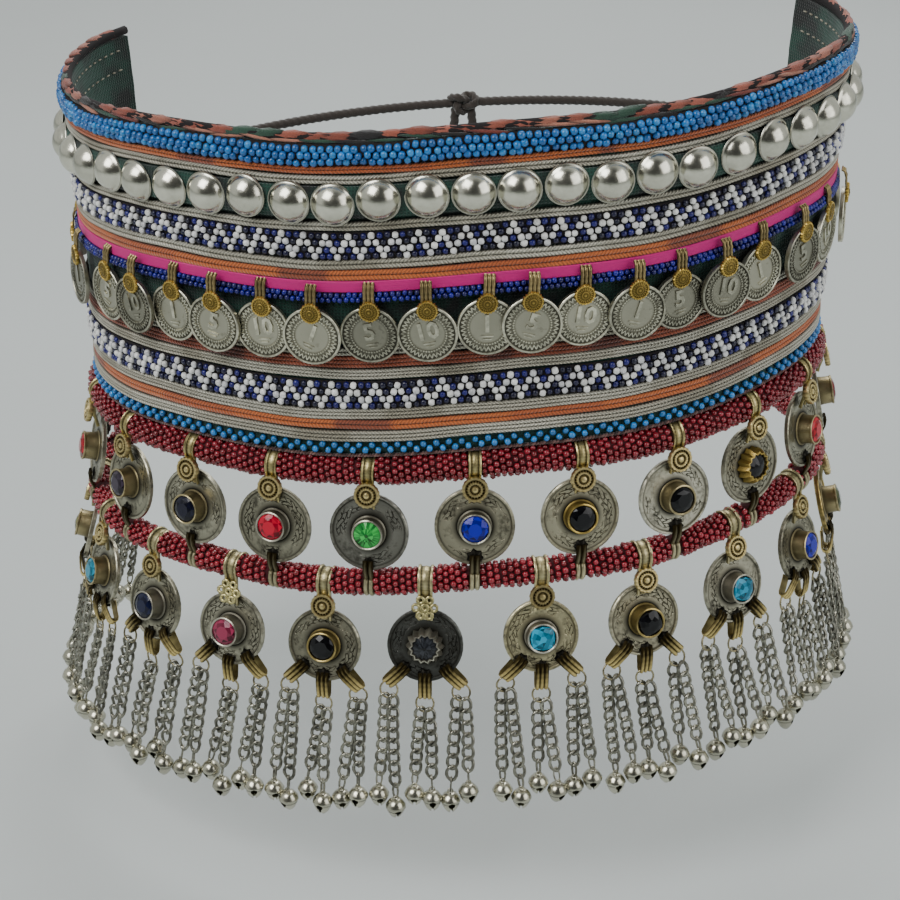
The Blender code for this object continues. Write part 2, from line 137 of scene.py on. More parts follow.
def placed(place, height, out, below=None):
    """A frame on the belt: X along it, Y up its slope and Z out, in millimetres."""
    spot = ring_point(place, height, out)
    side = Vector((0.0, 0.0, 1.0)).cross(outward(place))
    up = Vector((0.0, 0.0, 1.0))
    if below is not None:
        up = (spot - ring_point(place, below, out)).normalized()
    up = (up - side * up.dot(side)).normalized()
    made = Matrix((side, up, side.cross(up))).transposed().to_4x4()
    made.translation = spot
    return made


def moved(made, y=0.0, z=0.0):
    """The same frame, moved up its slope and out."""
    return made @ Matrix.Translation((0.0, y, z))


print("front centre of the coins:", [round(c, 1) for c in ring_point(0.0, 0.0, 0.0)])

# %% [markdown]
# ## Nodes and colours
# Three small helpers serve the materials and node trees. The first adds one node with its
# settings and its inputs, and an input may be a value or another node's output. The second turns
# a colour as a screen shows it, written in hex, into the linear values that Blender works with.
# The third begins a material and sets the values that are the same all over a surface.

# %% Helpers for nodes and colours


def add(tree, kind, settings=None, inputs=None):
    node = tree.nodes.new(kind)
    for key, value in (settings or {}).items():
        setattr(node, key, value)
    for key, value in (inputs or {}).items():
        if isinstance(value, bpy.types.NodeSocket):
            tree.links.new(value, node.inputs[key])
        else:
            node.inputs[key].default_value = value
    return node


def linear(colour, share=1.0):
    """A hex colour as linear red, green, blue and alpha, darkened to a share of its light."""
    values = []
    for i in (0, 2, 4):
        value = int(colour[i:i + 2], 16) / 255.0
        value = value / 12.92 if value <= 0.04045 else ((value + 0.055) / 1.055) ** 2.4
        values.append(value * share)
    return (*values, 1.0)


def begin_material(name, **values):
    """A new material with values on its Principled BSDF, whose links are added after."""
    made = bpy.data.materials.new(name)
    made.use_nodes = True
    shader = made.node_tree.nodes["Principled BSDF"]
    for key, value in values.items():
        shader.inputs[key.replace("_", " ").title().replace("Ior", "IOR")].default_value = value
    return made, made.node_tree, shader


print("mid grey is", [round(c, 3) for c in linear("808080")])

# %% [markdown]
# ## Cotton cord
# The two ties are twisted from soft cotton yarn. Cotton is matt, with a faint glow of loose
# fibres at its edge, which the shader calls sheen. Fine noise in the object's own coordinates
# stands for the fibres, about 0.4 mm apart so that they show.

# %% Cotton cord material
COTTON, tree, shader = begin_material("twisted_cotton_yarn", roughness=0.92, sheen_weight=0.35)
place = add(tree, "ShaderNodeTexCoord").outputs["Object"]
fibres = add(tree, "ShaderNodeTexNoise", {}, {"Vector": place, "Scale": 2500.0, "Detail": 3.0})
ramp = add(tree, "ShaderNodeValToRGB", {}, {"Fac": fibres.outputs["Fac"]})
ramp.color_ramp.elements[0].color = linear("1b1715")
ramp.color_ramp.elements[1].color = linear("4a413a")
bump = add(tree, "ShaderNodeBump", {}, {"Height": fibres.outputs["Fac"], "Distance": 0.0002})
tree.links.new(ramp.outputs["Color"], shader.inputs["Base Color"])
tree.links.new(bump.outputs["Normal"], shader.inputs["Normal"])
print("made", COTTON.name)

# %% [markdown]
# ## Swept shapes
# A cord, a strip and a ring of wire are all one section carried along a path. The function below
# takes a list of rings of points and skins them, with closed ends or as a loop, and with faces
# that point outwards. It writes the distance along the path and round the section to the UV map,
# 10 mm to a unit, so a weave follows the piece. Curves could do the same, but here each ring can
# have its own shape.

# %% Helpers for swept shapes
UV_UNIT = 10.0
STRANDS = 3
LAY = 9.0
STRAND_DEPTH = 0.34


def new_object(name, mesh):
    made = bpy.data.objects.new(name, mesh)
    bpy.context.scene.collection.objects.link(made)
    return made


def skinned(name, rings, material, smooth_angle=40.0, closed=False):
    """A mesh through rings of points in millimetres."""
    count = len(rings[0])
    mesh = bpy.data.meshes.new(name)
    work = bmesh.new()
    layer = work.loops.layers.uv.new("UVMap")
    rows = [[work.verts.new(Vector(point) * MM) for point in ring] for ring in rings]
    along = 0.0
    pairs = list(zip(rings, rings[1:])) + ([(rings[-1], rings[0])] if closed else [])
    for i, (ring, after) in enumerate(pairs):
        step = (Vector(after[0]) - Vector(ring[0])).length
        row, next_row = rows[i], rows[(i + 1) % len(rows)]
        round_it = 0.0
        for j in range(count):
            k = (j + 1) % count
            width = (Vector(ring[k]) - Vector(ring[j])).length
            face = work.faces.new((row[j], next_row[j], next_row[k], row[k]))
            spots = ((0.0, 0.0), (step, 0.0), (step, width), (0.0, width))
            for loop, (u, v) in zip(face.loops, spots):
                loop[layer].uv = ((along + u) / UV_UNIT, (round_it + v) / UV_UNIT)
            round_it += width
        along += step
    if not closed:
        work.faces.new(rows[0])
        work.faces.new(list(reversed(rows[-1])))
    bmesh.ops.recalc_face_normals(work, faces=work.faces)
    work.to_mesh(mesh)
    work.free()
    mesh.shade_smooth()
    mesh.set_sharp_from_angle(angle=math.radians(smooth_angle))
    mesh.materials.append(material)
    return new_object(name, mesh)


def cord_rings(path, radius, sides=18):
    """Rings of a twisted cord: its outline has a lobe for each strand and turns along the path."""
    rings = []
    along = 0.0
    normal = None
    for i, point in enumerate(path):
        ahead = (path[min(i + 1, len(path) - 1)] - path[max(i - 1, 0)]).normalized()
        if normal is None:
            normal = ahead.orthogonal().normalized()
        normal = (normal - ahead * normal.dot(ahead)).normalized()
        across = ahead.cross(normal)
        if i:
            along += (point - path[i - 1]).length
        ring = []
        for j in range(sides):
            angle = math.tau * j / sides
            wave = abs(math.cos(STRANDS / 2.0 * (angle - math.tau * along / LAY)))
            reach = radius * (1.0 - STRAND_DEPTH + STRAND_DEPTH * wave)
            ring.append(point + (normal * math.cos(angle) + across * math.sin(angle)) * reach)
        rings.append(ring)
    return rings


def finish_piece(made, slot, *nodes):
    """Lets a finished piece ride and hides the solids it stands for. The slot is not used."""
    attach(made, "root")
    if nodes:
        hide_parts(*nodes)
    made.data.calc_loop_triangles()
    print(made.name, len(made.data.loop_triangles), "triangles")
    return made


# %% [markdown]
# ## The ties at the back
# One pair of cotton ties closes the belt. Each runs round the ring from the end of the band to a
# knot at the wearer's back and hangs down from it. The route is that of the solid and goes 2.5 mm
# on, into the knot. A three strand outline that turns every 9 mm gives the twist.

# %% Make the ties
TIE_RADIUS = 2.0
TIE_HEIGHT = 12.0
TIE_END_LENGTH = 78.0
TIE_END_TOP = 5.05
TIE_END_ASIDE = 3.2
TIE_END_SPREAD = 5.2
KNOT_HALF_WIDTH = 7.0
TIE_STEPS = 130
END_STEPS = 78
IN_THE_KNOT = 2.5
SEAM = 0.3
CLOTH = 2.4


def tie_point(turn, side):
    half = between(FLARE, TIE_HEIGHT) - CLOTH / 2.0
    x = side * half * math.sin(turn)
    return Vector((x, -DEPTH_RATIO * half * math.cos(turn), TIE_HEIGHT + SLANT * x))


def length_of(path):
    return sum((b - a).length for a, b in zip(path, path[1:]))


START_TURN = turn_at(BAND_HALF_LENGTH) + (SEAM + 0.1) / REFERENCE_HALF_WIDTH / DEPTH_RATIO
KNOT_TURN = math.pi - math.asin((KNOT_HALF_WIDTH - IN_THE_KNOT) / REFERENCE_HALF_WIDTH)
ties = {}
for side, word in ((-1.0, "left"), (1.0, "right")):
    reach = KNOT_TURN - START_TURN
    run = [tie_point(START_TURN + reach * i / TIE_STEPS, side) for i in range(TIE_STEPS + 1)]
    end = []
    for i in range(END_STEPS + 1):
        share = i / END_STEPS
        sideways = side * (TIE_END_ASIDE + TIE_END_SPREAD * share * (1.4 - 0.4 * share))
        below = TIE_END_TOP - IN_THE_KNOT + (TIE_END_LENGTH + IN_THE_KNOT) * share
        end.append(tie_point(math.pi, side) + Vector((sideways, 0.4 + 1.6 * share, -below)))
    for path, name, far_end in ((run, f"tie_run_{word}", "knot"), (end, f"tie_end_{word}", "bare")):
        rings = cord_rings(path, TIE_RADIUS)
        tie = skinned(f"cotton_{name}", rings, COTTON)
        ties[name] = (finish_piece(tie, "cotton_cord", name), path, far_end)

# %% [markdown]
# ## The knot
# The ties meet in one tight knot. A trefoil curve passes over and under itself three times as a
# simple knot does, so a cord swept along it and squeezed to the size of the solid reads as one.

# %% Make the knot
KNOT_REACH = Vector((1.9, 1.02, 1.3))
KNOT_YARN = 1.75
KNOT_STEPS = 120
knot_path = []
for i in range(KNOT_STEPS):
    t = math.tau * i / KNOT_STEPS
    spot = Vector((math.sin(t) + 2.0 * math.sin(2.0 * t), 0.0, math.cos(t) - 2.0 * math.cos(2.0 * t)))
    spot.y = -math.sin(3.0 * t) * 2.0
    knot_path.append(tie_point(math.pi, 1.0) + Vector([a * b for a, b in zip(spot, KNOT_REACH)]))
knot_rings = cord_rings(knot_path, KNOT_YARN, sides=14)
knot = skinned("cotton_knot", knot_rings, COTTON, closed=True)
finish_piece(knot, "cotton_cord", "tie_knot")
for name, (tie, path, far_end) in ties.items():
    print(name, round(length_of(path), 1), "mm")

# %% [markdown]
# ## Strips along the belt
# The band, the ribbon, the cloth under the beads and the cores of the ropes are sections carried
# along the ring. A section is a list of heights and outs, so one function draws them all.

# %% A helper for strips
STATION_GAP = 4.0


def strip(name, section, material, angle=40.0):
    """A closed section of (height, out) pairs, carried along the belt."""
    whole = 2.0 * BAND_HALF_LENGTH
    count = round(whole / STATION_GAP)
    places = [-BAND_HALF_LENGTH + whole * i / count for i in range(count + 1)]
    rings = [[ring_point(place, height, out) for height, out in section] for place in places]
    return skinned(name, rings, material, angle)


def round_section(height, out, radius, sides):
    angles = [math.tau * i / sides for i in range(sides)]
    return [(height + radius * math.sin(a), out + radius * math.cos(a)) for a in angles]


# %% [markdown]
# ## The cloth of the band
# The band is stiff cotton in a plain weave, black with green threads, and green again where its
# hem shows. Two sets of waves at right angles in the UV map make the over and under of the yarns,
# and slow noise lets the green come and go. The threads are 1.2 mm apart, coarser than real ones
# so that they show. The wave texture repeats every pi / 10 units at scale 1, and a unit of the UV
# map is 10 mm.

# %% Band cloth material
YARN = 1.2
CLOTH_WEAVE, tree, shader = begin_material("black_green_cotton_weave", roughness=0.9, sheen_weight=0.2)
uv = add(tree, "ShaderNodeUVMap", {"uv_map": "UVMap"}).outputs["UV"]
weave_scale = math.pi / 10.0 * UV_UNIT / YARN
warp = add(
    tree, "ShaderNodeTexWave", {"bands_direction": "X"},
    {"Vector": uv, "Scale": weave_scale, "Distortion": 0.6, "Detail Scale": 4.0},
)
weft = add(
    tree, "ShaderNodeTexWave", {"bands_direction": "Y"},
    {"Vector": uv, "Scale": weave_scale, "Distortion": 0.6, "Detail Scale": 4.0},
)
cross = add(
    tree, "ShaderNodeMath", {"operation": "MAXIMUM"},
    {0: warp.outputs["Fac"], 1: weft.outputs["Fac"]},
).outputs[0]
place = add(tree, "ShaderNodeTexCoord").outputs["Object"]
patches = add(tree, "ShaderNodeTexNoise", {}, {"Vector": place, "Scale": 70.0, "Detail": 2.0})
greens = add(tree, "ShaderNodeValToRGB", {}, {"Fac": patches.outputs["Fac"]})
greens.color_ramp.elements[0].position = 0.38
greens.color_ramp.elements[0].color = linear("0d1311")
greens.color_ramp.elements[1].position = 0.6
greens.color_ramp.elements[1].color = linear("174034")
height = add(tree, "ShaderNodeSeparateXYZ", {}, {"Vector": place}).outputs["Z"]
low = add(
    tree, "ShaderNodeMapRange", {},
    {"Value": height, "From Min": -0.030, "From Max": -0.038, "To Min": 0.0, "To Max": 0.8},
).outputs[0]
hem = add(
    tree, "ShaderNodeMix", {"data_type": "RGBA"},
    {0: low, 6: greens.outputs["Color"], 7: linear("123f37")},
).outputs[2]
# The weave darkens the colour where the yarns dip and lightens their tops: painted shade and highlight.
shade = add(
    tree, "ShaderNodeMapRange", {}, {"Value": cross, "To Min": 0.55, "To Max": 1.15}
).outputs[0]
colour = add(
    tree, "ShaderNodeVectorMath", {"operation": "SCALE"}, {0: hem, "Scale": shade}
).outputs[0]
bump = add(tree, "ShaderNodeBump", {}, {"Height": cross, "Distance": 0.00025})
tree.links.new(colour, shader.inputs["Base Color"])
tree.links.new(bump.outputs["Normal"], shader.inputs["Normal"])
print("made", CLOTH_WEAVE.name)

# %% [markdown]
# ## The band
# The cloth is one shell, 2.4 mm thick, cut as a long rectangle. Sewing the rows on draws it in
# along each seam, so its outside swells a little between seams and puckers along them.

# %% Make the band
BAND_TOP = 64.4
BAND_BOTTOM = -49.9
PUCKER = 0.25
SEAM_SPACING = 11.4
INSIDE_SHARE = 0.6
BAND_STEPS = 40
outer = []
for i in range(BAND_STEPS + 1):
    height = BAND_BOTTOM + (BAND_TOP - BAND_BOTTOM) * i / BAND_STEPS
    outer.append((height, -PUCKER * (0.5 - 0.5 * math.cos(math.tau * height / SEAM_SPACING))))
inner = [(height, -CLOTH - INSIDE_SHARE * out) for height, out in reversed(outer)]
band = strip("band", outer + inner, CLOTH_WEAVE, angle=60.0)
finish_piece(band, "black_green_cotton", "band_cloth")

# %% [markdown]
# ## One tree for all that repeats
# Beads, stitches, domes, coins, links and bells all repeat one small shape along a path. The
# places are worked out in Python as points that carry their directions, a size and a colour. A
# single node tree puts the shape on each point, turns it to the directions, adds a little seeded
# unevenness as handwork has, makes the copies real and gives them their material.

# %% The repeating tree


def repeating_tree():
    tree = bpy.data.node_groups.new("repeat_on_places", "GeometryNodeTree")
    sockets = (
        ("Places", "NodeSocketGeometry", None), ("Shape", "NodeSocketObject", None),
        ("Width", "NodeSocketFloat", 1.0), ("Length", "NodeSocketFloat", 1.0),
        ("Height", "NodeSocketFloat", 1.0), ("Size unevenness", "NodeSocketFloat", 0.0),
        ("Tilt unevenness", "NodeSocketFloat", 0.0), ("Turn unevenness", "NodeSocketFloat", 0.0),
        ("Seed", "NodeSocketInt", 0), ("Finish", "NodeSocketMaterial", None),
    )
    for name, kind, value in sockets:
        item = tree.interface.new_socket(name, in_out="INPUT", socket_type=kind)
        if value is not None:
            item.default_value = value
    tree.interface.new_socket("Geometry", in_out="OUTPUT", socket_type="NodeSocketGeometry")
    given = add(tree, "NodeGroupInput").outputs
    vector = {"data_type": "FLOAT_VECTOR"}
    out = add(tree, "GeometryNodeInputNamedAttribute", vector, {"Name": "out"}).outputs[0]
    along = add(tree, "GeometryNodeInputNamedAttribute", vector, {"Name": "along"}).outputs[0]
    size = add(tree, "GeometryNodeInputNamedAttribute", {"data_type": "FLOAT"}, {"Name": "size"})
    facing = add(
        tree, "FunctionNodeAxesToRotation", {"primary_axis": "Z", "secondary_axis": "X"},
        {"Primary Axis": out, "Secondary Axis": along},
    ).outputs[0]
    most = add(
        tree, "ShaderNodeCombineXYZ", {},
        {"X": given["Tilt unevenness"], "Y": given["Tilt unevenness"], "Z": given["Turn unevenness"]},
    ).outputs[0]
    any_way = add(
        tree, "FunctionNodeRandomValue", vector,
        {0: (-1.0, -1.0, -1.0), 1: (1.0, 1.0, 1.0), "Seed": given["Seed"]},
    ).outputs[0]
    lean = add(tree, "ShaderNodeVectorMath", {"operation": "MULTIPLY"}, {0: most, 1: any_way})
    lean = add(tree, "FunctionNodeEulerToRotation", {}, {"Euler": lean.outputs[0]}).outputs[0]
    facing = add(
        tree, "FunctionNodeRotateRotation", {"rotation_space": "LOCAL"},
        {"Rotation": facing, "Rotate By": lean},
    ).outputs[0]
    more = add(
        tree, "FunctionNodeRandomValue", {"data_type": "FLOAT"}, {2: -1.0, 3: 1.0, "Seed": given["Seed"]}
    ).outputs[1]
    more = add(
        tree, "ShaderNodeMath", {"operation": "MULTIPLY_ADD"},
        {0: more, 1: given["Size unevenness"], 2: 1.0},
    ).outputs[0]
    more = add(
        tree, "ShaderNodeMath", {"operation": "MULTIPLY"}, {0: more, 1: size.outputs[0]}
    ).outputs[0]
    extent = add(
        tree, "ShaderNodeCombineXYZ", {},
        {"X": given["Width"], "Y": given["Length"], "Z": given["Height"]},
    ).outputs[0]
    extent = add(
        tree, "ShaderNodeVectorMath", {"operation": "SCALE"}, {0: extent, "Scale": more}
    ).outputs[0]
    shape = add(tree, "GeometryNodeObjectInfo", {}, {"Object": given["Shape"]}).outputs["Geometry"]
    copies = add(
        tree, "GeometryNodeInstanceOnPoints", {},
        {"Points": given["Places"], "Instance": shape, "Rotation": facing, "Scale": extent},
    ).outputs[0]
    real = add(tree, "GeometryNodeRealizeInstances", {}, {"Geometry": copies}).outputs[0]
    dressed = add(
        tree, "GeometryNodeSetMaterial", {}, {"Geometry": real, "Material": given["Finish"]}
    ).outputs[0]
    add(tree, "NodeGroupOutput", {}, {"Geometry": dressed})
    return tree


REPEAT = repeating_tree()
SOCKET = {s.name: s.identifier for s in REPEAT.interface.items_tree if s.in_out == "INPUT"}
print("the tree has", len(REPEAT.nodes), "nodes")

# %% [markdown]
# ## Using the tree
# The modifier's inputs are set by their identifiers before it runs. The result is read as a plain
# mesh, the modifier goes, and the small shape is no longer needed. Pieces that belong together
# are joined, each part keeping its own material.

# %% Helpers that repeat and join


def plain_mesh(made):
    """The evaluated mesh of an object, with its attributes."""
    graph = bpy.context.evaluated_depsgraph_get()
    graph.update()
    done = made.evaluated_get(graph)
    return bpy.data.meshes.new_from_object(done, preserve_all_data_layers=True, depsgraph=graph)


def repeated(name, shape, spots, material, **uneven):
    """The shape on each spot, which is a frame in millimetres, a colour and a size."""
    mesh = bpy.data.meshes.new(name)
    mesh.from_pydata([spot[0].translation * MM for spot in spots], [], [])
    columns = (
        ("along", "FLOAT_VECTOR", "vector", [spot[0].col[0].xyz for spot in spots]),
        ("out", "FLOAT_VECTOR", "vector", [spot[0].col[2].xyz for spot in spots]),
        ("tint", "FLOAT_COLOR", "color", [spot[1] for spot in spots]),
        ("size", "FLOAT", "value", [(spot[2],) for spot in spots]),
    )
    for key, kind, field, rows in columns:
        layer = mesh.attributes.new(key, kind, "POINT")
        layer.data.foreach_set(field, [number for row in rows for number in row])
    places = new_object(name, mesh)
    repeat = places.modifiers.new("repeat", "NODES")
    repeat.node_group = REPEAT
    repeat[SOCKET["Shape"]] = shape
    repeat[SOCKET["Finish"]] = material
    for key, value in uneven.items():
        repeat[SOCKET[key.replace("_", " ").capitalize()]] = value
    done = plain_mesh(places)
    places.modifiers.clear()
    places.data = done
    return places


def joined(name, *parts):
    """Several objects as one piece, each with its own material."""
    with bpy.context.temp_override(active_object=parts[0], selected_editable_objects=list(parts)):
        bpy.ops.object.join()
    parts[0].name = name
    return parts[0]


def wander(place, height, reach):
    """How far a row of handwork wanders up or down at a place."""
    return reach * (0.6 * math.sin(place / 17.0 + height) + 0.4 * math.sin(place / 6.1 + 3.0 * height))


def row_of(pitch, height, out, shift=0.0, margin=0.8, stray=0.0, sway=0.0):
    """Frames evenly along the belt. Each may stray from its place, and the row may wander."""
    reach = BAND_HALF_LENGTH - margin
    first = math.ceil(-reach / pitch - shift)
    last = math.floor(reach / pitch - shift)
    chance = random.Random(round(100.0 * height))
    made = []
    for i in range(first, last + 1):
        place = (i + shift) * pitch
        up = wander(place, height, sway) + chance.uniform(-stray, stray)
        made.append(placed(place + chance.uniform(-stray, stray), height + up, out))
    return made


# %% [markdown]
# ## Small shapes
# A turned shape is a profile of radii and outs, spun round its Z axis, with poles closed by one
# point. Each row also says how deep in a hollow it lies, from 0 to 1, because old metal stays dark
# in its hollows and shines where it is rubbed. On shapes of thread the same value is painted shade.
# That value is kept as an attribute.

# %% Helpers for small shapes


def turned(name, profile, sides, teeth=0.0, angle=40.0):
    """A turned shape from rows of radius, out and hollow. Teeth move every second side in."""
    mesh = bpy.data.meshes.new(name)
    work = bmesh.new()
    dark = work.verts.layers.float.new("hollow")
    layer = work.loops.layers.uv.new("UVMap")
    rows = []
    for radius, out, hollow in profile:
        steps = 1 if radius == 0.0 else sides
        row = []
        for i in range(steps):
            turn = math.tau * i / sides
            reach = radius * (1.0 - teeth * (i % 2) if radius > profile[0][0] * 0.5 else 1.0)
            vert = work.verts.new((reach * math.cos(turn), reach * math.sin(turn), out))
            # Indented sides get 0.4 more: patina on metal, painted shade on thread.
            vert[dark] = hollow + (0.4 if teeth and i % 2 else 0.0)
            row.append(vert)
        rows.append(row)
    for row, after in zip(rows, rows[1:]):
        for i in range(sides):
            k = (i + 1) % sides
            corners = [row[i % len(row)], row[k % len(row)], after[k % len(after)], after[i % len(after)]]
            work.faces.new(list(dict.fromkeys(corners)))
    for row, flip in ((rows[0], True), (rows[-1], False)):
        if len(row) > 1:
            work.faces.new(list(reversed(row)) if flip else row)
    bmesh.ops.recalc_face_normals(work, faces=work.faces)
    for face in work.faces:
        for loop in face.loops:
            loop[layer].uv = loop.vert.co.xy
    work.to_mesh(mesh)
    work.free()
    mesh.shade_smooth()
    mesh.set_sharp_from_angle(angle=math.radians(angle))
    return new_object(name, mesh)


def scaled(made, size):
    made.data.transform(Matrix.Diagonal((size, size, size, 1.0)))
    return made


def twisted(made, turn):
    """The same shape, twisted about its X axis by a turn for each unit of length."""
    for vert in made.data.vertices:
        vert.co = Matrix.Rotation(turn * vert.co.x, 3, "X") @ vert.co
    return made


def bead_shape(sides, rows):
    """A glass bead one unit wide, with its thread along X, from rows of radius and place."""
    made = turned("bead", [(r, z, 0.0) for r, z in rows], sides, angle=180.0)
    made.data.transform(Matrix.Rotation(math.radians(90.0), 4, "Y"))
    return made


BEAD = bead_shape(9, (
    (0.0, -0.40), (0.32, -0.38), (0.48, -0.18), (0.5, 0.0), (0.48, 0.18), (0.32, 0.38), (0.0, 0.40),
))
SMALL_BEAD = bead_shape(6, ((0.0, -0.46), (0.45, -0.27), (0.45, 0.27), (0.0, 0.46)))
# A stitch is dark at its foot, painted shade where it enters the cloth.
STITCH = turned("stitch", [(0.5, -0.2, 1.0), (0.42, 0.25, 0.3), (0.0, 0.5, 0.0)], 6, angle=180.0)
print("a bead has", len(BEAD.data.polygons), "faces and a stitch", len(STITCH.data.polygons))

# %% [markdown]
# ## Glass beads
# Seed beads are cut from drawn glass tube and tumbled in heat until their edges round. Opaque
# glass is smooth and bright, so it has sharp small highlights over a flat colour. Each bead's own
# colour comes from an attribute, and faint noise stands for dust and wear.

# %% Bead materials


def glass_bead_material(name, roughness, depth):
    made, tree, shader = begin_material(name, roughness=roughness, ior=1.52, coat_weight=depth)
    tint = add(tree, "ShaderNodeAttribute", {"attribute_name": "tint"}).outputs["Color"]
    place = add(tree, "ShaderNodeTexCoord").outputs["Object"]
    dust = add(tree, "ShaderNodeTexNoise", {}, {"Vector": place, "Scale": 900.0, "Detail": 2.0})
    share = add(
        tree, "ShaderNodeMapRange", {},
        {"Value": dust.outputs["Fac"], "From Min": 0.3, "From Max": 0.7, "To Min": 0.72, "To Max": 1.12},
    ).outputs[0]
    colour = add(
        tree, "ShaderNodeVectorMath", {"operation": "SCALE"}, {0: tint, "Scale": share}
    ).outputs[0]
    tree.links.new(colour, shader.inputs["Base Color"])
    return made


BLUE_GLASS = glass_bead_material("opaque_turquoise_glass", 0.24, 0.3)
PANEL_GLASS = glass_bead_material("opaque_navy_and_white_glass", 0.3, 0.2)
RUBY_GLASS = glass_bead_material("dark_ruby_glass", 0.2, 0.5)
print("made 3 glass materials")

# %% [markdown]
# ## Threads and braids
# The braids are metal wrapped thread or dyed cotton, plaited flat and sewn on in lines. A braid is
# a strip with two or three rounded lobes. The threads slant one way on a lobe and the other way on
# the next, which the eye reads as a plait. They are 1.3 mm apart, a little coarser than real
# ones, and the material draws them: it counts the distance along the strip in the UV map and the
# place across a lobe in an attribute. Metal thread is only part metal: it glitters but has a
# yellow grey body.

# %% Thread materials
THREAD_PITCH = 1.3
THREAD_SLANT = 1.1


def thread_material(name, metallic, roughness, sheen, plaited):
    made, tree, shader = begin_material(
        name, metallic=metallic, roughness=roughness, sheen_weight=sheen
    )
    tint = add(tree, "ShaderNodeAttribute", {"attribute_name": "tint"}).outputs["Color"]
    hollow = add(tree, "ShaderNodeAttribute", {"attribute_name": "hollow"}).outputs["Fac"]
    place = add(tree, "ShaderNodeTexCoord").outputs["Object"]
    fibres = add(tree, "ShaderNodeTexNoise", {}, {"Vector": place, "Scale": 3000.0, "Detail": 2.0})
    raised = fibres.outputs["Fac"]
    if plaited:
        uv = add(tree, "ShaderNodeUVMap", {"uv_map": "UVMap"}).outputs["UV"]
        along = add(tree, "ShaderNodeSeparateXYZ", {}, {"Vector": uv}).outputs["X"]
        lobe = add(tree, "ShaderNodeAttribute", {"attribute_name": "across"}).outputs["Fac"]
        share = add(tree, "ShaderNodeMath", {"operation": "PINGPONG"}, {0: lobe, 1: 1.0}).outputs[0]
        slant = add(
            tree, "ShaderNodeMath", {"operation": "MULTIPLY"}, {0: share, 1: THREAD_SLANT}
        ).outputs[0]
        turn = add(
            tree, "ShaderNodeMath", {"operation": "MULTIPLY_ADD"},
            {0: along, 1: UV_UNIT / THREAD_PITCH, 2: slant},
        ).outputs[0]
        thread = add(tree, "ShaderNodeMath", {"operation": "PINGPONG"}, {0: turn, 1: 0.5}).outputs[0]
        raised = add(
            tree, "ShaderNodeMath", {"operation": "MULTIPLY_ADD"},
            {0: thread, 1: 1.6, 2: add(
                tree, "ShaderNodeMath", {"operation": "MULTIPLY"}, {0: raised, 1: 0.5}
            ).outputs[0]},
        ).outputs[0]
    # Painted shade: the hollow value darkens the valleys between lobes, the edges, the creases of folds
    # and the feet of stitches.
    dark = add(
        tree, "ShaderNodeMapRange", {}, {"Value": hollow, "To Min": 1.0, "To Max": 0.22}
    ).outputs[0]
    # On plaits this is painted shade between the threads and a painted highlight on the raised ones; on
    # plain thread it is fibre grain.
    lit = add(
        tree, "ShaderNodeMapRange", {}, {"Value": raised, "To Min": 0.4, "To Max": 1.25}
    ).outputs[0]
    share = add(tree, "ShaderNodeMath", {"operation": "MULTIPLY"}, {0: dark, 1: lit}).outputs[0]
    colour = add(
        tree, "ShaderNodeVectorMath", {"operation": "SCALE"}, {0: tint, "Scale": share}
    ).outputs[0]
    bump = add(tree, "ShaderNodeBump", {}, {"Height": raised, "Distance": 0.0004})
    tree.links.new(colour, shader.inputs["Base Color"])
    tree.links.new(bump.outputs["Normal"], shader.inputs["Normal"])
    return made


METAL_BRAID = thread_material("plaited_silver_metal_thread", 0.45, 0.45, 0.1, True)
COTTON_BRAID = thread_material("plaited_dyed_cotton", 0.0, 0.8, 0.3, True)
COTTON_THREAD = thread_material("dyed_cotton_thread", 0.0, 0.85, 0.3, False)


def backing_material(name, dark, light):
    made, tree, shader = begin_material(name, roughness=0.95)
    place = add(tree, "ShaderNodeTexCoord").outputs["Object"]
    grain = add(tree, "ShaderNodeTexNoise", {}, {"Vector": place, "Scale": 1500.0})
    ramp = add(tree, "ShaderNodeValToRGB", {}, {"Fac": grain.outputs["Fac"]})
    ramp.color_ramp.elements[0].color = linear(dark)
    ramp.color_ramp.elements[1].color = linear(light)
    tree.links.new(ramp.outputs["Color"], shader.inputs["Base Color"])
    return made


BACKING = backing_material("dark_cotton_backing", "0c0a0c", "231c1c")
ROPE_CORE = backing_material("dark_red_cotton_core", "26060b", "4c0d16")
print("made", METAL_BRAID.name, COTTON_BRAID.name, COTTON_THREAD.name)

# %% [markdown]
# ## The braids
# The table gives each braid its edges, thickness, lobes, colours and finish. Sewn by hand, a
# braid wanders a little, so the dark cloth shows unevenly between them. Its colour changes slowly
# along it, and where a slow wave crosses a limit it is worn or stained.

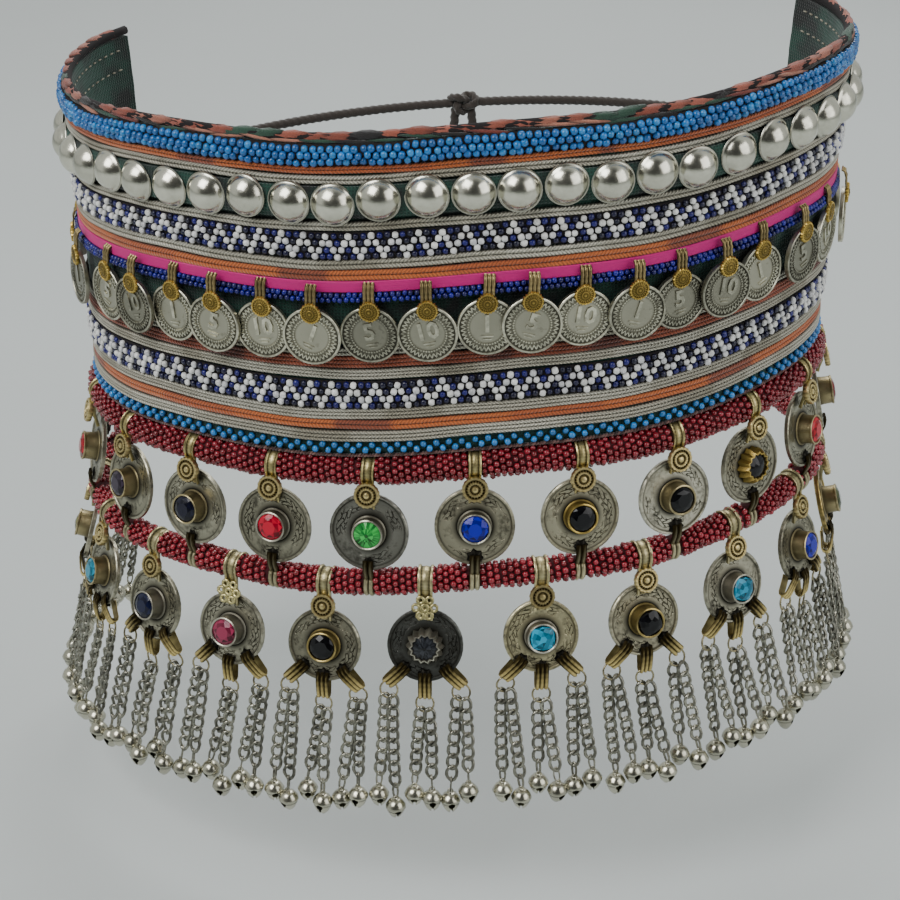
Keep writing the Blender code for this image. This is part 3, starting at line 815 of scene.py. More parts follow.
# %% Make the braids
SILVER = ("b8b3a2", "c6c2b2", "a39d8b")
ORANGE = ("c8672c", "b85a28", "92472a")
RUST = ("8d4023", "9c4a2c", "6a3324")
BRAIDS = (
    # name, low edge, high edge, thickness, lobes, colours, material, slot
    ("orange_braid_upper", 54.4, 57.1, 1.2, 2, ORANGE, COTTON_BRAID, "orange_braid"),
    ("silver_braid_upper", 51.0, 54.1, 1.3, 2, SILVER, METAL_BRAID, "silver_braid"),
    ("silver_braid_under_domes", 34.4, 37.6, 1.3, 2, SILVER, METAL_BRAID, "silver_braid"),
    ("silver_braid_over_coins", 20.7, 24.3, 1.3, 2, SILVER, METAL_BRAID, "silver_braid"),
    ("orange_braid_over_coins", 16.5, 20.4, 1.2, 2, ORANGE, COTTON_BRAID, "orange_braid"),
    ("silver_braid_behind_coins", -10.9, -7.9, 1.2, 2, SILVER, METAL_BRAID, "silver_braid"),
    ("rust_braid_behind_coins", -15.7, -11.2, 1.2, 3, RUST, COTTON_BRAID, "rust_braid"),
    ("silver_braid_under_coins", -19.8, -16.0, 1.3, 3, SILVER, METAL_BRAID, "silver_braid"),
    ("silver_braid_lower", -35.4, -31.3, 1.3, 3, SILVER, METAL_BRAID, "silver_braid"),
    ("orange_braid_lower", -39.4, -35.7, 1.2, 2, ORANGE, COTTON_BRAID, "orange_braid"),
    ("silver_braid_hem", -43.9, -39.7, 1.5, 3, SILVER, METAL_BRAID, "silver_braid"),
)
LOBE_SHARES = (0.0, 0.12, 0.35, 0.65, 0.88, 1.0)
BRAID_SWAY = 0.3
BRAID_STEP = 3.0
WORN = 0.95
FADED = -0.4


def braid(name, low, high, thickness, lobes, colours, material, slot, seed):
    """A lobed strip along the belt, whose points know their place across a lobe."""
    width = (high - low) / lobes
    # The last value of each point is painted shade, strongest at the edges and between lobes.
    section = [(low, 0.0, 0.0, 0.6), (high, 0.0, float(lobes), 0.6)]
    for lobe in reversed(range(lobes)):
        for share in reversed(LOBE_SHARES):
            if share == 1.0 and lobe < lobes - 1:
                continue
            rise = math.sin(math.pi * share) ** 0.5
            bulge = thickness * (0.45 + 0.55 * rise)
            section.append((low + width * (lobe + share), bulge, lobe + share, 0.85 - 0.85 * rise))
    count = round(2.0 * BAND_HALF_LENGTH / BRAID_STEP)
    rings, across, hollows, tints = [], [], [], []
    for i in range(count + 1):
        place = BAND_HALF_LENGTH * (2.0 * i / count - 1.0)
        up = wander(place, low, BRAID_SWAY)
        wave = math.sin(place / 21.0 + seed) + 0.5 * math.sin(place / 7.3 + 2.0 * seed)
        colour = linear(colours[2] if wave > WORN else colours[0] if wave > FADED else colours[1])
        rings.append([ring_point(place, height + up, SEAM + rise) for height, rise, _, _ in section])
        across += [point[2] for point in section]
        hollows += [point[3] for point in section]
        tints += [colour] * len(section)
    made = skinned(f"{name}_plait", rings, material, smooth_angle=75.0)
    for key, kind, field, values in (
        ("across", "FLOAT", "value", across), ("hollow", "FLOAT", "value", hollows),
        ("tint", "FLOAT_COLOR", "color", [number for tint in tints for number in tint]),
    ):
        made.data.attributes.new(key, kind, "POINT").data.foreach_set(field, values)
    return finish_piece(made, slot, name)


def flat_section(low, high, thickness, round_off=0.35):
    top = SEAM + thickness
    return (
        (low, SEAM), (high, SEAM), (high, top - round_off),
        (high - round_off, top), (low + round_off, top), (low, top - round_off),
    )


for seed, row in enumerate(BRAIDS):
    braid(*row, seed)

# %% [markdown]
# ## The whipped edge
# The top edge is a roll of rags, twisted round the edge of the cloth: salmon rust for the most
# part, with stretches of green and black. Each fold is a spindle with creases along it, twisted
# and laid aslant over the next, and takes its colour from where it is.

# %% Make the edge binding
BINDING_HEIGHT = BAND_TOP + SEAM + 2.0
FOLD_PITCH = 8.5
FOLD_LENGTH = 15.0
FOLD_TWIST = 2.2
THIN_PITCH = 11.0
GREEN_OVER = 1.2
BLACK_UNDER = -1.5
# A fold's hollow values and teeth are painted shade, at its tucked ends and in its creases.
FOLD = turned("fold", [
    (0.0, -0.5, 0.8), (0.2, -0.44, 0.6), (0.38, -0.28, 0.2), (0.5, -0.05, 0.0), (0.46, 0.15, 0.0),
    (0.3, 0.36, 0.3), (0.16, 0.46, 0.6), (0.0, 0.5, 0.8),
], 12, teeth=0.2, angle=180.0)
FOLD.data.transform(Matrix.Rotation(math.radians(90.0), 4, "Y"))
twisted(FOLD, FOLD_TWIST)
core = strip(
    "binding_core", round_section(BINDING_HEIGHT - 0.2, -CLOTH / 2.0, 1.7, 8), BACKING, angle=180.0
)
chance = random.Random(4)
folds = []
for i, spot in enumerate(row_of(FOLD_PITCH, BINDING_HEIGHT, -CLOTH / 2.0 + 0.3, margin=7.0, stray=0.35)):
    wave = math.sin(i / 2.3) + math.sin(i / 1.1 + 2.0)
    if wave > GREEN_OVER:
        colour = "2a5540"
    elif wave < BLACK_UNDER:
        colour = "1d1a19"
    else:
        colour = chance.choice(("c06a55", "b4604a", "a8543f", "c4775f"))
    lean = Matrix.Rotation(math.radians(chance.uniform(6.0, 12.0)), 4, "Z")
    folds.append((spot @ lean, linear(colour, chance.uniform(0.8, 1.05)), 1.0))
folds = repeated(
    "binding_folds", FOLD, folds, COTTON_THREAD, width=FOLD_LENGTH * MM, length=3.7 * MM,
    height=3.6 * MM, size_unevenness=0.1, tilt_unevenness=0.07, turn_unevenness=0.05, seed=3,
)
thin = [
    (spot, linear(chance.choice(("1c1816", "2a5540", "8a3a2c", "d08a70"))), 1.0)
    for spot in row_of(THIN_PITCH, BINDING_HEIGHT - 1.2, 0.4, shift=0.4, margin=8.0, stray=0.5)
]
thin = repeated(
    "binding_thin_folds", FOLD, thin, COTTON_THREAD, width=FOLD_LENGTH * MM, length=1.5 * MM,
    height=1.5 * MM, size_unevenness=0.15, turn_unevenness=0.1, seed=4,
)
finish_piece(joined("whipped_edge", core, folds, thin), "rust_cotton_binding", "edge_binding")

# %% [markdown]
# ## The turquoise bead roll
# Three rows of opaque turquoise beads are sewn over a roll of cloth, each row half a bead along
# from the last. The middle row stands furthest out.

# %% Make the blue bead roll
BLUE_PITCH = 2.8
BLUE_ROWS = ((63.4, 1.6), (61.1, 2.1), (58.8, 1.6))
BLUE = ("1f6db4", "2678c0", "1a62a6", "2f86c8")
roll = strip(
    "blue_roll_cloth",
    ((57.4, SEAM), (64.9, SEAM), (64.6, 1.3), (63.3, 1.8), (58.9, 1.8), (57.7, 1.3)), BACKING,
)
chance = random.Random(8)
blue_spots = []
for i, (height, out) in enumerate(BLUE_ROWS):
    for spot in row_of(BLUE_PITCH, height, out, 0.5 * (i % 2), margin=1.9, stray=0.28, sway=0.3):
        spot = moved(spot, z=chance.uniform(-0.25, 0.25))
        blue_spots.append((spot, linear(chance.choice(BLUE), chance.uniform(0.75, 1.1)), 1.0))
blue = repeated(
    "blue_beads", BEAD, blue_spots, BLUE_GLASS, width=2.85 * MM, length=2.75 * MM,
    height=2.75 * MM, size_unevenness=0.07, tilt_unevenness=0.3, turn_unevenness=0.4, seed=5,
)
finish_piece(joined("turquoise_bead_roll", roll, blue), "blue_beads", "blue_bead_roll")

# %% [markdown]
# ## The bead panels
# Two panels are worked in navy and white beads, brick fashion: each row lies half a bead along
# from the one above. White beads in threes stand upright and upside down in turn, and together
# they read as a zigzag. The chart below repeats every three beads, and a letter is one bead. The
# white beads are a little bigger and stand out from the navy ground.

# %% Make the bead panels
PANEL_CHART = (
    "wnn",
    "wwn",
    "nww",
    "nnw",
)
PANEL_PITCH = 2.6
PANEL_COLOURS = {"w": ("e4e3e0", "d6d6d8", "efefec"), "n": ("11125e", "15166e", "0b0c2c", "0f0e38")}
NAVY_SIZE = 0.9
WHITE_PROUD = 0.35
CLOTH_SHARE = 0.45
BEAD_SHARE = 0.55
BEAD_STRAY = 0.2


def bead_panel(name, low, high, thickness, seed):
    chance = random.Random(seed)
    cloth = strip(f"{name}_cloth", flat_section(low, high, thickness * CLOTH_SHARE), BACKING)
    gap = (high - low) / len(PANEL_CHART)
    spots = []
    for row, letters in enumerate(PANEL_CHART):
        height = high - gap * (row + 0.5)
        shift = -0.5 * (row % 2)
        reach = math.floor(BAND_HALF_LENGTH / PANEL_PITCH) - 1
        for i in range(-reach, reach + 1):
            letter = letters[i % len(letters)]
            place = (i + shift) * PANEL_PITCH
            up = wander(place, low, BRAID_SWAY) + chance.uniform(-BEAD_STRAY, BEAD_STRAY)
            white = letter == "w"
            out = SEAM + thickness * BEAD_SHARE + (WHITE_PROUD if white else 0.0)
            spot = placed(place + chance.uniform(-BEAD_STRAY, BEAD_STRAY), height + up, out)
            colour = linear(chance.choice(PANEL_COLOURS[letter]), chance.uniform(0.85, 1.1))
            spots.append((spot, colour, 1.0 if white else NAVY_SIZE))
    beads = repeated(
        f"{name}_beads", BEAD, spots, PANEL_GLASS, width=2.62 * MM, length=gap * 0.98 * MM,
        height=2.0 * MM, size_unevenness=0.08, tilt_unevenness=0.25, turn_unevenness=0.35, seed=seed,
    )
    return finish_piece(joined(f"{name}_work", cloth, beads), "navy_white_beads", name)


bead_panel("bead_panel_upper", 24.6, 34.1, 1.9, 11)
bead_panel("bead_panel_lower", -31.0, -20.6, 1.9, 12)

# %% [markdown]
# ## The hem
# Along the hem, pairs of turquoise beads lie one up and one down on a thread, over the green
# cloth, and a dusty rose cord is sewn along the edge. A narrow tape behind it carries the upper
# rope. These small things have no solid of their own, so they only ride with the belt.

# %% Make the hem's beads and cord
HEM_PITCH = 2.3
HEM_HEIGHT = -46.4
HEM_LIFTS = (-0.8, 0.9)
# Each second bead, the upper one set further back, is darkened to 0.7 as painted shade.
HEM_PAINTED_SHADES = (1.0, 0.7)
HEM_CORD_HEIGHT = -49.4
HEM_CORD_PITCH = 1.2
TAPE = ((-53.5, -1.2), (-49.0, -1.2), (-49.0, -0.5), (-53.5, -0.5))
hem_spots = []
for i, spot in enumerate(row_of(HEM_PITCH, HEM_HEIGHT, 1.0, margin=1.9, stray=0.15, sway=0.3)):
    colour = linear("2d86d0", HEM_PAINTED_SHADES[i % 2] * chance.uniform(0.9, 1.1))
    hem_spots.append((moved(spot, y=HEM_LIFTS[i % 2], z=0.5 - 0.5 * (i % 2)), colour, 1.0))
hem_beads = repeated(
    "hem_beads", BEAD, hem_spots, BLUE_GLASS, width=2.4 * MM, length=2.4 * MM, height=2.3 * MM,
    size_unevenness=0.07, tilt_unevenness=0.2, turn_unevenness=0.9, seed=6,
)
finish_piece(hem_beads, "blue_beads")
cord_core = strip("hem_cord_core", round_section(HEM_CORD_HEIGHT, 0.9, 0.55, 6), BACKING, angle=180.0)
slant = Matrix.Rotation(math.radians(35.0), 4, "Z")
cord_spots = [
    (spot @ slant, linear(chance.choice(("7d5650", "6a453e", "8f655c", "4a2f2c"))), 1.0)
    for spot in row_of(HEM_CORD_PITCH, HEM_CORD_HEIGHT, 1.05)
]
cord_stitches = repeated(
    "hem_cord_stitches", STITCH, cord_spots, COTTON_THREAD, width=2.2 * MM, length=1.1 * MM,
    height=1.3 * MM, turn_unevenness=0.15, seed=7,
)
tape = strip("hem_tape", TAPE, BACKING)
finish_piece(joined("hem_cord", cord_core, cord_stitches, tape), "rust_braid")

# %% [markdown]
# ## Old metals
# Nickel silver, cupronickel, pewter and brass all age the same way: the hollows go dark and dull
# and the high places stay bright. One function builds such a metal. It takes the metal's bright
# colour from the tint of each copy, darkens it by the hollow attribute and by noise with 1.5 mm
# and 6 mm spots, and makes the dark places rougher. Metals keep the default index of refraction.

# %% Metal materials


def old_metal_material(name, tarnish, roughness, stain, scratch=0.00004):
    made, tree, shader = begin_material(name, metallic=1.0)
    tint = add(tree, "ShaderNodeAttribute", {"attribute_name": "tint"}).outputs["Color"]
    hollow = add(tree, "ShaderNodeAttribute", {"attribute_name": "hollow"}).outputs["Fac"]
    place = add(tree, "ShaderNodeTexCoord").outputs["Object"]
    spots = add(tree, "ShaderNodeTexNoise", {}, {"Vector": place, "Scale": 650.0, "Detail": 4.0})
    clouds = add(tree, "ShaderNodeTexNoise", {}, {"Vector": place, "Scale": 160.0, "Detail": 2.0})
    stains = add(
        tree, "ShaderNodeMath", {"operation": "ADD"},
        {0: spots.outputs["Fac"], 1: clouds.outputs["Fac"]},
    ).outputs[0]
    stains = add(
        tree, "ShaderNodeMapRange", {},
        {"Value": stains, "From Min": 0.85, "From Max": 1.3, "To Min": 0.0, "To Max": stain},
    ).outputs[0]
    aged = add(
        tree, "ShaderNodeMath", {"operation": "MAXIMUM"}, {0: hollow, 1: stains}
    ).outputs[0]
    colour = add(
        tree, "ShaderNodeMix", {"data_type": "RGBA"}, {0: aged, 6: tint, 7: linear(tarnish)}
    ).outputs[2]
    rough = add(
        tree, "ShaderNodeMapRange", {},
        {"Value": aged, "To Min": roughness, "To Max": min(roughness + 0.35, 0.85)},
    ).outputs[0]
    bump = add(tree, "ShaderNodeBump", {}, {"Height": spots.outputs["Fac"], "Distance": scratch})
    tree.links.new(colour, shader.inputs["Base Color"])
    tree.links.new(rough, shader.inputs["Roughness"])
    tree.links.new(bump.outputs["Normal"], shader.inputs["Normal"])
    return made


NICKEL = old_metal_material("pressed_nickel_silver", "5a564a", 0.2, 0.18, 0.00005)
CUPRONICKEL = old_metal_material("struck_cupronickel", "302e26", 0.28, 0.55)
PEWTER = old_metal_material("cast_pewter", "2b2a24", 0.3, 0.75, 0.0001)
BRASS = old_metal_material("stamped_brass", "2e2716", 0.3, 0.45, 0.00012)
STEEL = old_metal_material("dark_steel_wire", "1e1d1a", 0.22, 0.7)
print("made 5 metals")

# %% [markdown]
# ## The domes
# A row of domes, pressed from thin nickel silver sheet, is sewn on through the rims. A dome is
# turned from its profile: a flat rim, a sharp step and a round crown. They stand on a bed of the
# green cloth, which shows between them.

# %% Make the domes
DOME_HEIGHT = 45.2
DOME_PITCH = 15.3
DOME_START = -5.1
DOME_BACK = 2.45
DOME_FOOT = 6.9
DOME_RISE = 4.5
DOME_STEP = 0.6
DOME_MARGIN = 8.0
CAP_STEPS = 8
dome_ball = (DOME_FOOT ** 2 + DOME_RISE ** 2) / (2.0 * DOME_RISE)
dome_edge = math.asin(DOME_FOOT / dome_ball)
cap = []
for i in range(CAP_STEPS + 1):
    angle = dome_edge * (1.0 - i / CAP_STEPS)
    rise = DOME_STEP + dome_ball * (math.cos(angle) - math.cos(dome_edge))
    cap.append((dome_ball * math.sin(angle), rise, 0.0))
cap[-1] = (0.0, DOME_STEP + DOME_RISE, 0.0)
DOME = turned("dome", [(7.3, 0.0, 0.6), (7.5, 0.2, 0.3), (7.4, 0.45, 0.2), (7.1, 0.5, 0.7)] + cap, 28)
scaled(DOME, MM)
bed = strip(
    "dome_bed",
    ((39.0, SEAM), (50.4, SEAM), (50.2, 1.9), (48.5, 2.6), (41.0, 2.6), (39.2, 1.9)), CLOTH_WEAVE,
)
reach = BAND_HALF_LENGTH - DOME_MARGIN
first = math.ceil((-reach - DOME_START) / DOME_PITCH)
last = math.floor((reach - DOME_START) / DOME_PITCH)
chance = random.Random(21)
dome_spots = []
for i in range(first, last + 1):
    aside, up = chance.uniform(-0.35, 0.35), chance.uniform(-0.8, 0.8)
    spot = placed(DOME_START + i * DOME_PITCH + aside, DOME_HEIGHT + up, DOME_BACK)
    dome_spots.append((spot, linear("d6d4c4", chance.uniform(0.85, 1.05)), 1.0))
domes = repeated("domes", DOME, dome_spots, NICKEL, tilt_unevenness=0.08, turn_unevenness=3.0, seed=9)
finish_piece(joined("dome_row_pressed", bed, domes), "nickel_domes", "dome_row")

# %% [markdown]
# ## Satin ribbon
# A magenta satin ribbon runs above the coins. Satin floats its warp over many wefts, so it is
# smooth along one way and throws long soft highlights. A stretched noise along the ribbon gives
# the fine lines of the warp.

# %% Make the satin ribbon
SATIN, tree, shader = begin_material(
    "magenta_satin", roughness=0.5, sheen_weight=0.08, anisotropic=0.4
)
uv = add(tree, "ShaderNodeUVMap", {"uv_map": "UVMap"}).outputs["UV"]
stretch = add(tree, "ShaderNodeMapping", {}, {"Vector": uv, "Scale": (0.4, 40.0, 1.0)}).outputs[0]
lines = add(tree, "ShaderNodeTexNoise", {}, {"Vector": stretch, "Scale": 2.0, "Detail": 3.0})
ramp = add(tree, "ShaderNodeValToRGB", {}, {"Fac": lines.outputs["Fac"]})
ramp.color_ramp.elements[0].color = linear("a8006c")
ramp.color_ramp.elements[1].color = linear("e60482")
bump = add(tree, "ShaderNodeBump", {}, {"Height": lines.outputs["Fac"], "Distance": 0.00015})
tree.links.new(ramp.outputs["Color"], shader.inputs["Base Color"])
tree.links.new(bump.outputs["Normal"], shader.inputs["Normal"])
ribbon_strip = strip("satin_ribbon", flat_section(12.6, 16.6, 1.3, 0.25), SATIN)
finish_piece(ribbon_strip, "pink_satin", "pink_satin_strip")

# %% [markdown]
# ## Straps and bails
# Straps and bails are bent from strip metal whose surface is rolled with ridges. The strip's
# section, with its ridges, is carried along a line drawn in the piece's own YZ plane. The deep
# points of the section are marked as hollow.

# %% A helper for bent strip metal


def bent_strip(name, line, section, side, dark_start=0.0, milled=0.0):
    """Strip metal along (y, z) points, from a section of (x, thickness, hollow) points. Side is 1
    where the line runs down the outer face and -1 where it runs up. Dark start darkens the first
    half of the line, most at its start, and milled cuts a notch at every second point."""
    mesh = bpy.data.meshes.new(name)
    work = bmesh.new()
    dark = work.verts.layers.float.new("hollow")
    rows = []
    for i, (y, z) in enumerate(line):
        before, after = line[max(i - 1, 0)], line[min(i + 1, len(line) - 1)]
        ahead = Vector((after[0] - before[0], after[1] - before[1])).normalized()
        # The first half of the line is darkened, most at its start.
        black = dark_start * max(0.0, 1.0 - 2.0 * i / (len(line) - 1))
        row = []
        for x, thick, hollow in section:
            if i % 2:
                thick, hollow = thick * (1.0 - milled), hollow + milled
            point = (x * MM, (y + side * ahead.y * thick) * MM, (z - side * ahead.x * thick) * MM)
            vert = work.verts.new(point)
            vert[dark] = min(1.0, hollow + black)
            row.append(vert)
        rows.append(row)
    count = len(section)
    for row, after in zip(rows, rows[1:]):
        for j in range(count):
            work.faces.new((row[j], after[j], after[(j + 1) % count], row[(j + 1) % count]))
    work.faces.new(rows[0])
    work.faces.new(list(reversed(rows[-1])))
    bmesh.ops.recalc_face_normals(work, faces=work.faces)
    work.to_mesh(mesh)
    work.free()
    mesh.shade_smooth()
    mesh.set_sharp_from_angle(angle=math.radians(50.0))
    return new_object(name, mesh)


def finer(line, parts):
    """The same line with each stretch cut into equal parts."""
    made = []
    for (y, z), (next_y, next_z) in zip(line, line[1:]):
        made += [(y + (next_y - y) * i / parts, z + (next_z - z) * i / parts) for i in range(parts)]
    return made + [line[-1]]


def wires(width, count, thickness):
    """A section like round wires lying side by side, dark in the valleys between them."""
    half = width / 2.0
    wire = width / count
    top = []
    for i in range(count):
        for share, rise in ((0.0, 0.0), (0.25, 0.8), (0.5, 1.0), (0.75, 0.8)):
            height = thickness + wire * 0.4 * rise
            top.append((half - wire * (i + share), height, 0.9 * (1.0 - rise)))
    top.append((-half, thickness, 0.9))
    return [(-half, 0.0, 0.6), (half, 0.0, 0.6)] + top


def arc(centre, radius, first, last, steps):
    """Points (y, z) on an arc whose angles go from straight out towards up, in degrees."""
    points = []
    for i in range(steps + 1):
        angle = math.radians(first + (last - first) * i / steps)
        points.append((centre + radius * math.sin(angle), radius * math.cos(angle)))
    return points


print("a section of three wires has", len(wires(4.0, 3, 0.5)), "points")

# %% [markdown]
# ## A coin
# The coins are struck cupronickel with a raised rim, a ring of zigzag ticks and a circle of fine
# dots. In place of a real inscription each coin has a plain numeral over two dashes. The
# rim is in the turned profile, ticks and dots are small bars, and the numeral is a text object
# made into a mesh. What stands up stays bright, and the field around it is darker.

# %% Shapes of the coins
COIN_RADIUS = 10.2
COIN_FACE = 1.1
COIN_TICKS = 72
TICK_CIRCLE = 8.0
TICK_LEAN = 0.42
COIN_DOTS = 44
DOT_CIRCLE = 6.4
NUMERAL_SIZE = 8.4
NUMERAL_RELIEF = 0.28
NUMERAL_WEIGHT = 0.22


def coin_blank():
    r = COIN_RADIUS
    profile = [
        (r, 0.0, 0.4), (r, 1.35, 0.0), (r - 0.25, 1.6, 0.0), (r - 0.75, 1.55, 0.0),
        (r - 0.95, COIN_FACE, 0.9), (6.9, COIN_FACE, 0.7), (5.9, COIN_FACE, 0.6),
        (5.4, COIN_FACE, 0.4), (0.0, COIN_FACE + 0.1, 0.45),
    ]
    return turned("coin", [(0.0, 0.0, 0.4)] + profile, 36, angle=30.0)


def coin_marks():
    """The bars that make ticks, dots and dashes, each as (x, y, turn, length, width)."""
    bars = []
    for i in range(COIN_TICKS):
        turn = math.tau * i / COIN_TICKS
        x, y = TICK_CIRCLE * math.cos(turn), TICK_CIRCLE * math.sin(turn)
        bars.append((x, y, turn + (TICK_LEAN if i % 2 else -TICK_LEAN), 1.9, 0.36))
    for i in range(COIN_DOTS):
        turn = math.tau * i / COIN_DOTS
        x, y = DOT_CIRCLE * math.cos(turn), DOT_CIRCLE * math.sin(turn)
        bars.append((x, y, turn + 0.785, 0.5, 0.5))
    bars += [(0.0, -3.4, 0.0, 4.2, 0.5), (0.0, -4.5, 0.0, 2.8, 0.4)]
    mesh = bpy.data.meshes.new("marks")
    work = bmesh.new()
    for x, y, turn, long, wide in bars:
        size = Matrix.Diagonal((long, wide, 0.5, 1.0))
        place = Matrix.Translation((x, y, COIN_FACE + 0.08)) @ Matrix.Rotation(turn, 4, "Z") @ size
        bmesh.ops.create_cube(work, size=1.0, matrix=place)
    bmesh.ops.delete(work, geom=[f for f in work.faces if f.normal.z < -0.5], context="FACES_ONLY")
    work.to_mesh(mesh)
    work.free()
    return new_object("marks", mesh)


def raised_numeral(word):
    curve = bpy.data.curves.new("numeral", "FONT")
    curve.body = word
    curve.size = NUMERAL_SIZE
    curve.extrude = NUMERAL_RELIEF
    curve.offset = NUMERAL_WEIGHT
    curve.resolution_u = 2
    curve.align_x = "CENTER"
    curve.align_y = "CENTER"
    written = new_object("numeral", curve)
    made = new_object("numeral_mesh", plain_mesh(written))
    bpy.data.objects.remove(written)
    made.data.transform(Matrix.Translation((0.0, 0.9, COIN_FACE + 0.25)))
    return made


COINS = []
for word in ("1", "5", "10"):
    coin = joined(f"coin_{word}", coin_blank(), coin_marks(), raised_numeral(word))
    COINS.append(scaled(coin, MM))
print("a coin has", len(COINS[0].data.polygons), "faces")

# %% [markdown]
# ## The coin row
# Coins hang in an uneven row, each second one in front of its neighbours, from ridged bails that
# cross the satin ribbon. A small brass cap with a toothed edge sits on each. Behind the bails
# runs a roll of small navy beads.

# %% Make the coin row
COIN_PLACES = (
    -224.0, -203.0, -180.5, -158.0, -135.5, -117.0, -99.0, -80.5, -62.5, -44.0, -24.3, -4.7,
    15.1, 30.0, 47.8, 66.0, 82.5, 99.9, 116.5, 137.0, 158.5, 180.0, 202.0, 223.0,
)
COIN_HEIGHT = -2.0
COIN_BACK = 2.7
COIN_LAP = 1.9
CAP_UP = 8.6
CAP_OUT = 1.5
NAVY_PITCH = 2.1
NAVY_ROWS = ((11.9, 1.9), (10.1, 2.1))
roll = strip("navy_roll_cloth", ((9.5, SEAM), (12.9, SEAM), (12.7, 1.3), (9.7, 1.3)), BACKING)
chance = random.Random(31)
navy_spots = []
for i, (height, out) in enumerate(NAVY_ROWS):
    for spot in row_of(NAVY_PITCH, height, out, 0.5 * i, margin=1.4, stray=0.15, sway=0.2):
        colour = linear(chance.choice(("121478", "0c0e5a", "181c8c")), chance.uniform(0.8, 1.2))
        navy_spots.append((spot, colour, 1.0))
navy = repeated(
    "navy_beads", BEAD, navy_spots, PANEL_GLASS, width=2.0 * MM, length=2.0 * MM,
    height=2.0 * MM, size_unevenness=0.06, tilt_unevenness=0.2, turn_unevenness=0.6, seed=14,
)
parts = [roll, navy]
coin_spots = []
for i, place in enumerate(COIN_PLACES):
    spot = placed(place, COIN_HEIGHT, COIN_BACK + COIN_LAP * (i % 2))
    share = chance.choice((1.1, 1.0, 1.15, 0.65, 0.9))
    coin_spots.append((spot, linear("d2cfba", share), 1.0))
for i, coin in enumerate(COINS):
    parts.append(repeated(
        f"coins_{i}", coin, coin_spots[i::len(COINS)], CUPRONICKEL, tilt_unevenness=0.03,
        turn_unevenness=0.35, seed=40 + i,
    ))
bail_line = [
    (8.6, 1.55), (9.6, 1.7), (10.6, 1.5), (11.6, 1.0), (13.2, 0.75), (15.2, 0.7), (17.2, 0.1),
    (17.8, -0.9),
]
BAIL = bent_strip("coin_bail", finer(bail_line, 2), wires(4.0, 3, 0.3), side=-1.0, milled=0.3)
CAP_PROFILE = [
    (3.7, -0.3, 0.3), (3.8, 0.5, 0.0), (3.5, 0.95, 0.0), (3.1, 1.0, 0.1), (2.9, 0.7, 0.6),
    (2.2, 0.95, 0.45), (1.5, 1.0, 0.7), (1.2, 1.25, 0.4), (0.7, 1.2, 0.7), (0.0, 1.45, 0.3),
]
CAP = scaled(turned("coin_cap", CAP_PROFILE, 40, teeth=0.09), MM)
bails, caps = [], []
for spot, _, _ in coin_spots:
    bails.append((spot, linear("c4ae7c", chance.uniform(0.6, 1.0)), 1.0))
    cap_spot = moved(spot, y=CAP_UP, z=CAP_OUT)
    caps.append((cap_spot, linear("ecca6c", chance.uniform(0.75, 1.0)), 1.0))
parts.append(repeated("coin_bails", BAIL, bails, BRASS, turn_unevenness=0.05, seed=17))
parts.append(repeated("coin_caps", CAP, caps, BRASS, turn_unevenness=1.0, seed=18))
finish_piece(joined("coin_row_struck", *parts), "coins", "coin_row")

# %% [markdown]
# ## Where the medallions hang
# Twelve medallions hang from the upper rope and twelve from the lower one, at uneven distances.
# Each has a frame whose origin is the centre of the rope, with Y up the slope of the belt, so
# the same shapes serve all. The tables also give the colours of each stone, disc and tube.

# %% Places of the medallions
ROPE_UPPER_HEIGHT = -55.6
ROPE_LOWER_HEIGHT = -99.4
SLOPE_HEIGHT = -140.0
UPPER_MEDALLIONS = (
    # place, stone, disc, tube
    (-206.0, "4a4a2c", "c4bfa8", "bcae84"), (-170.0, "8a0f1c", "b0ac98", "bcae84"),
    (-133.0, "2c2530", "aaa691", "bcae84"), (-97.0, "0e0f1e", "b0ac98", "bcae84"),
    (-62.5, "a00f28", "a29e8a", "b8b4a4"), (-26.5, "2f8f3f", "8c8a80", "b8b4a4"),
    (11.5, "10108a", "b6b098", "aaa796"), (49.5, "08080a", "c0baa0", "c2a85e"),
    (86.0, "08080a", "d2ceba", "bcae84"), (120.5, "0c0c10", "b0ac98", "c8ad60"),
    (155.0, "9a0f1c", "aaa691", "bcae84"), (190.0, "6a0c16", "b0ac98", "bcae84"),
)
LOWER_MEDALLIONS = (
    (-223.0, "4c5246", "b0ac98", "bcae84"), (-187.5, "5c5a2a", "beb8a2", "bcae84"),
    (-151.5, "1a6f86", "b0ac98", "bcae84"), (-115.5, "10142c", "aaa691", "b8b4a4"),
    (-79.0, "7a2840", "b0ac98", "c4c0b0"), (-42.5, "08080a", "9c9884", "b8a468"),
    (-6.0, "26282c", "5c5c58", "c8c4b4"), (35.0, "1a7f9c", "cfc6a0", "c8c4b4"),
    (73.0, "08080a", "bcb69c", "b8a468"), (110.5, "1a7490", "b6b29e", "b8b4a4"),
    (147.5, "10108a", "aaa691", "bcae84"), (184.5, "3c4426", "c8b070", "bcae84"),
)
UPPER_DISC_DROP = 23.4
LOWER_DISC_DROP = 25.0
DISC_TILT = math.radians(-7.0)
upper_frames = [placed(row[0], ROPE_UPPER_HEIGHT, 0.0, ROPE_LOWER_HEIGHT) for row in UPPER_MEDALLIONS]
lower_frames = [placed(row[0], ROPE_LOWER_HEIGHT, 0.0, SLOPE_HEIGHT) for row in LOWER_MEDALLIONS]
rope_gap = ring_point(0.0, ROPE_UPPER_HEIGHT, 0.0) - ring_point(0.0, ROPE_LOWER_HEIGHT, 0.0)
ROPE_DROP = rope_gap.length
print("the ropes are", round(ROPE_DROP, 1), "mm apart")

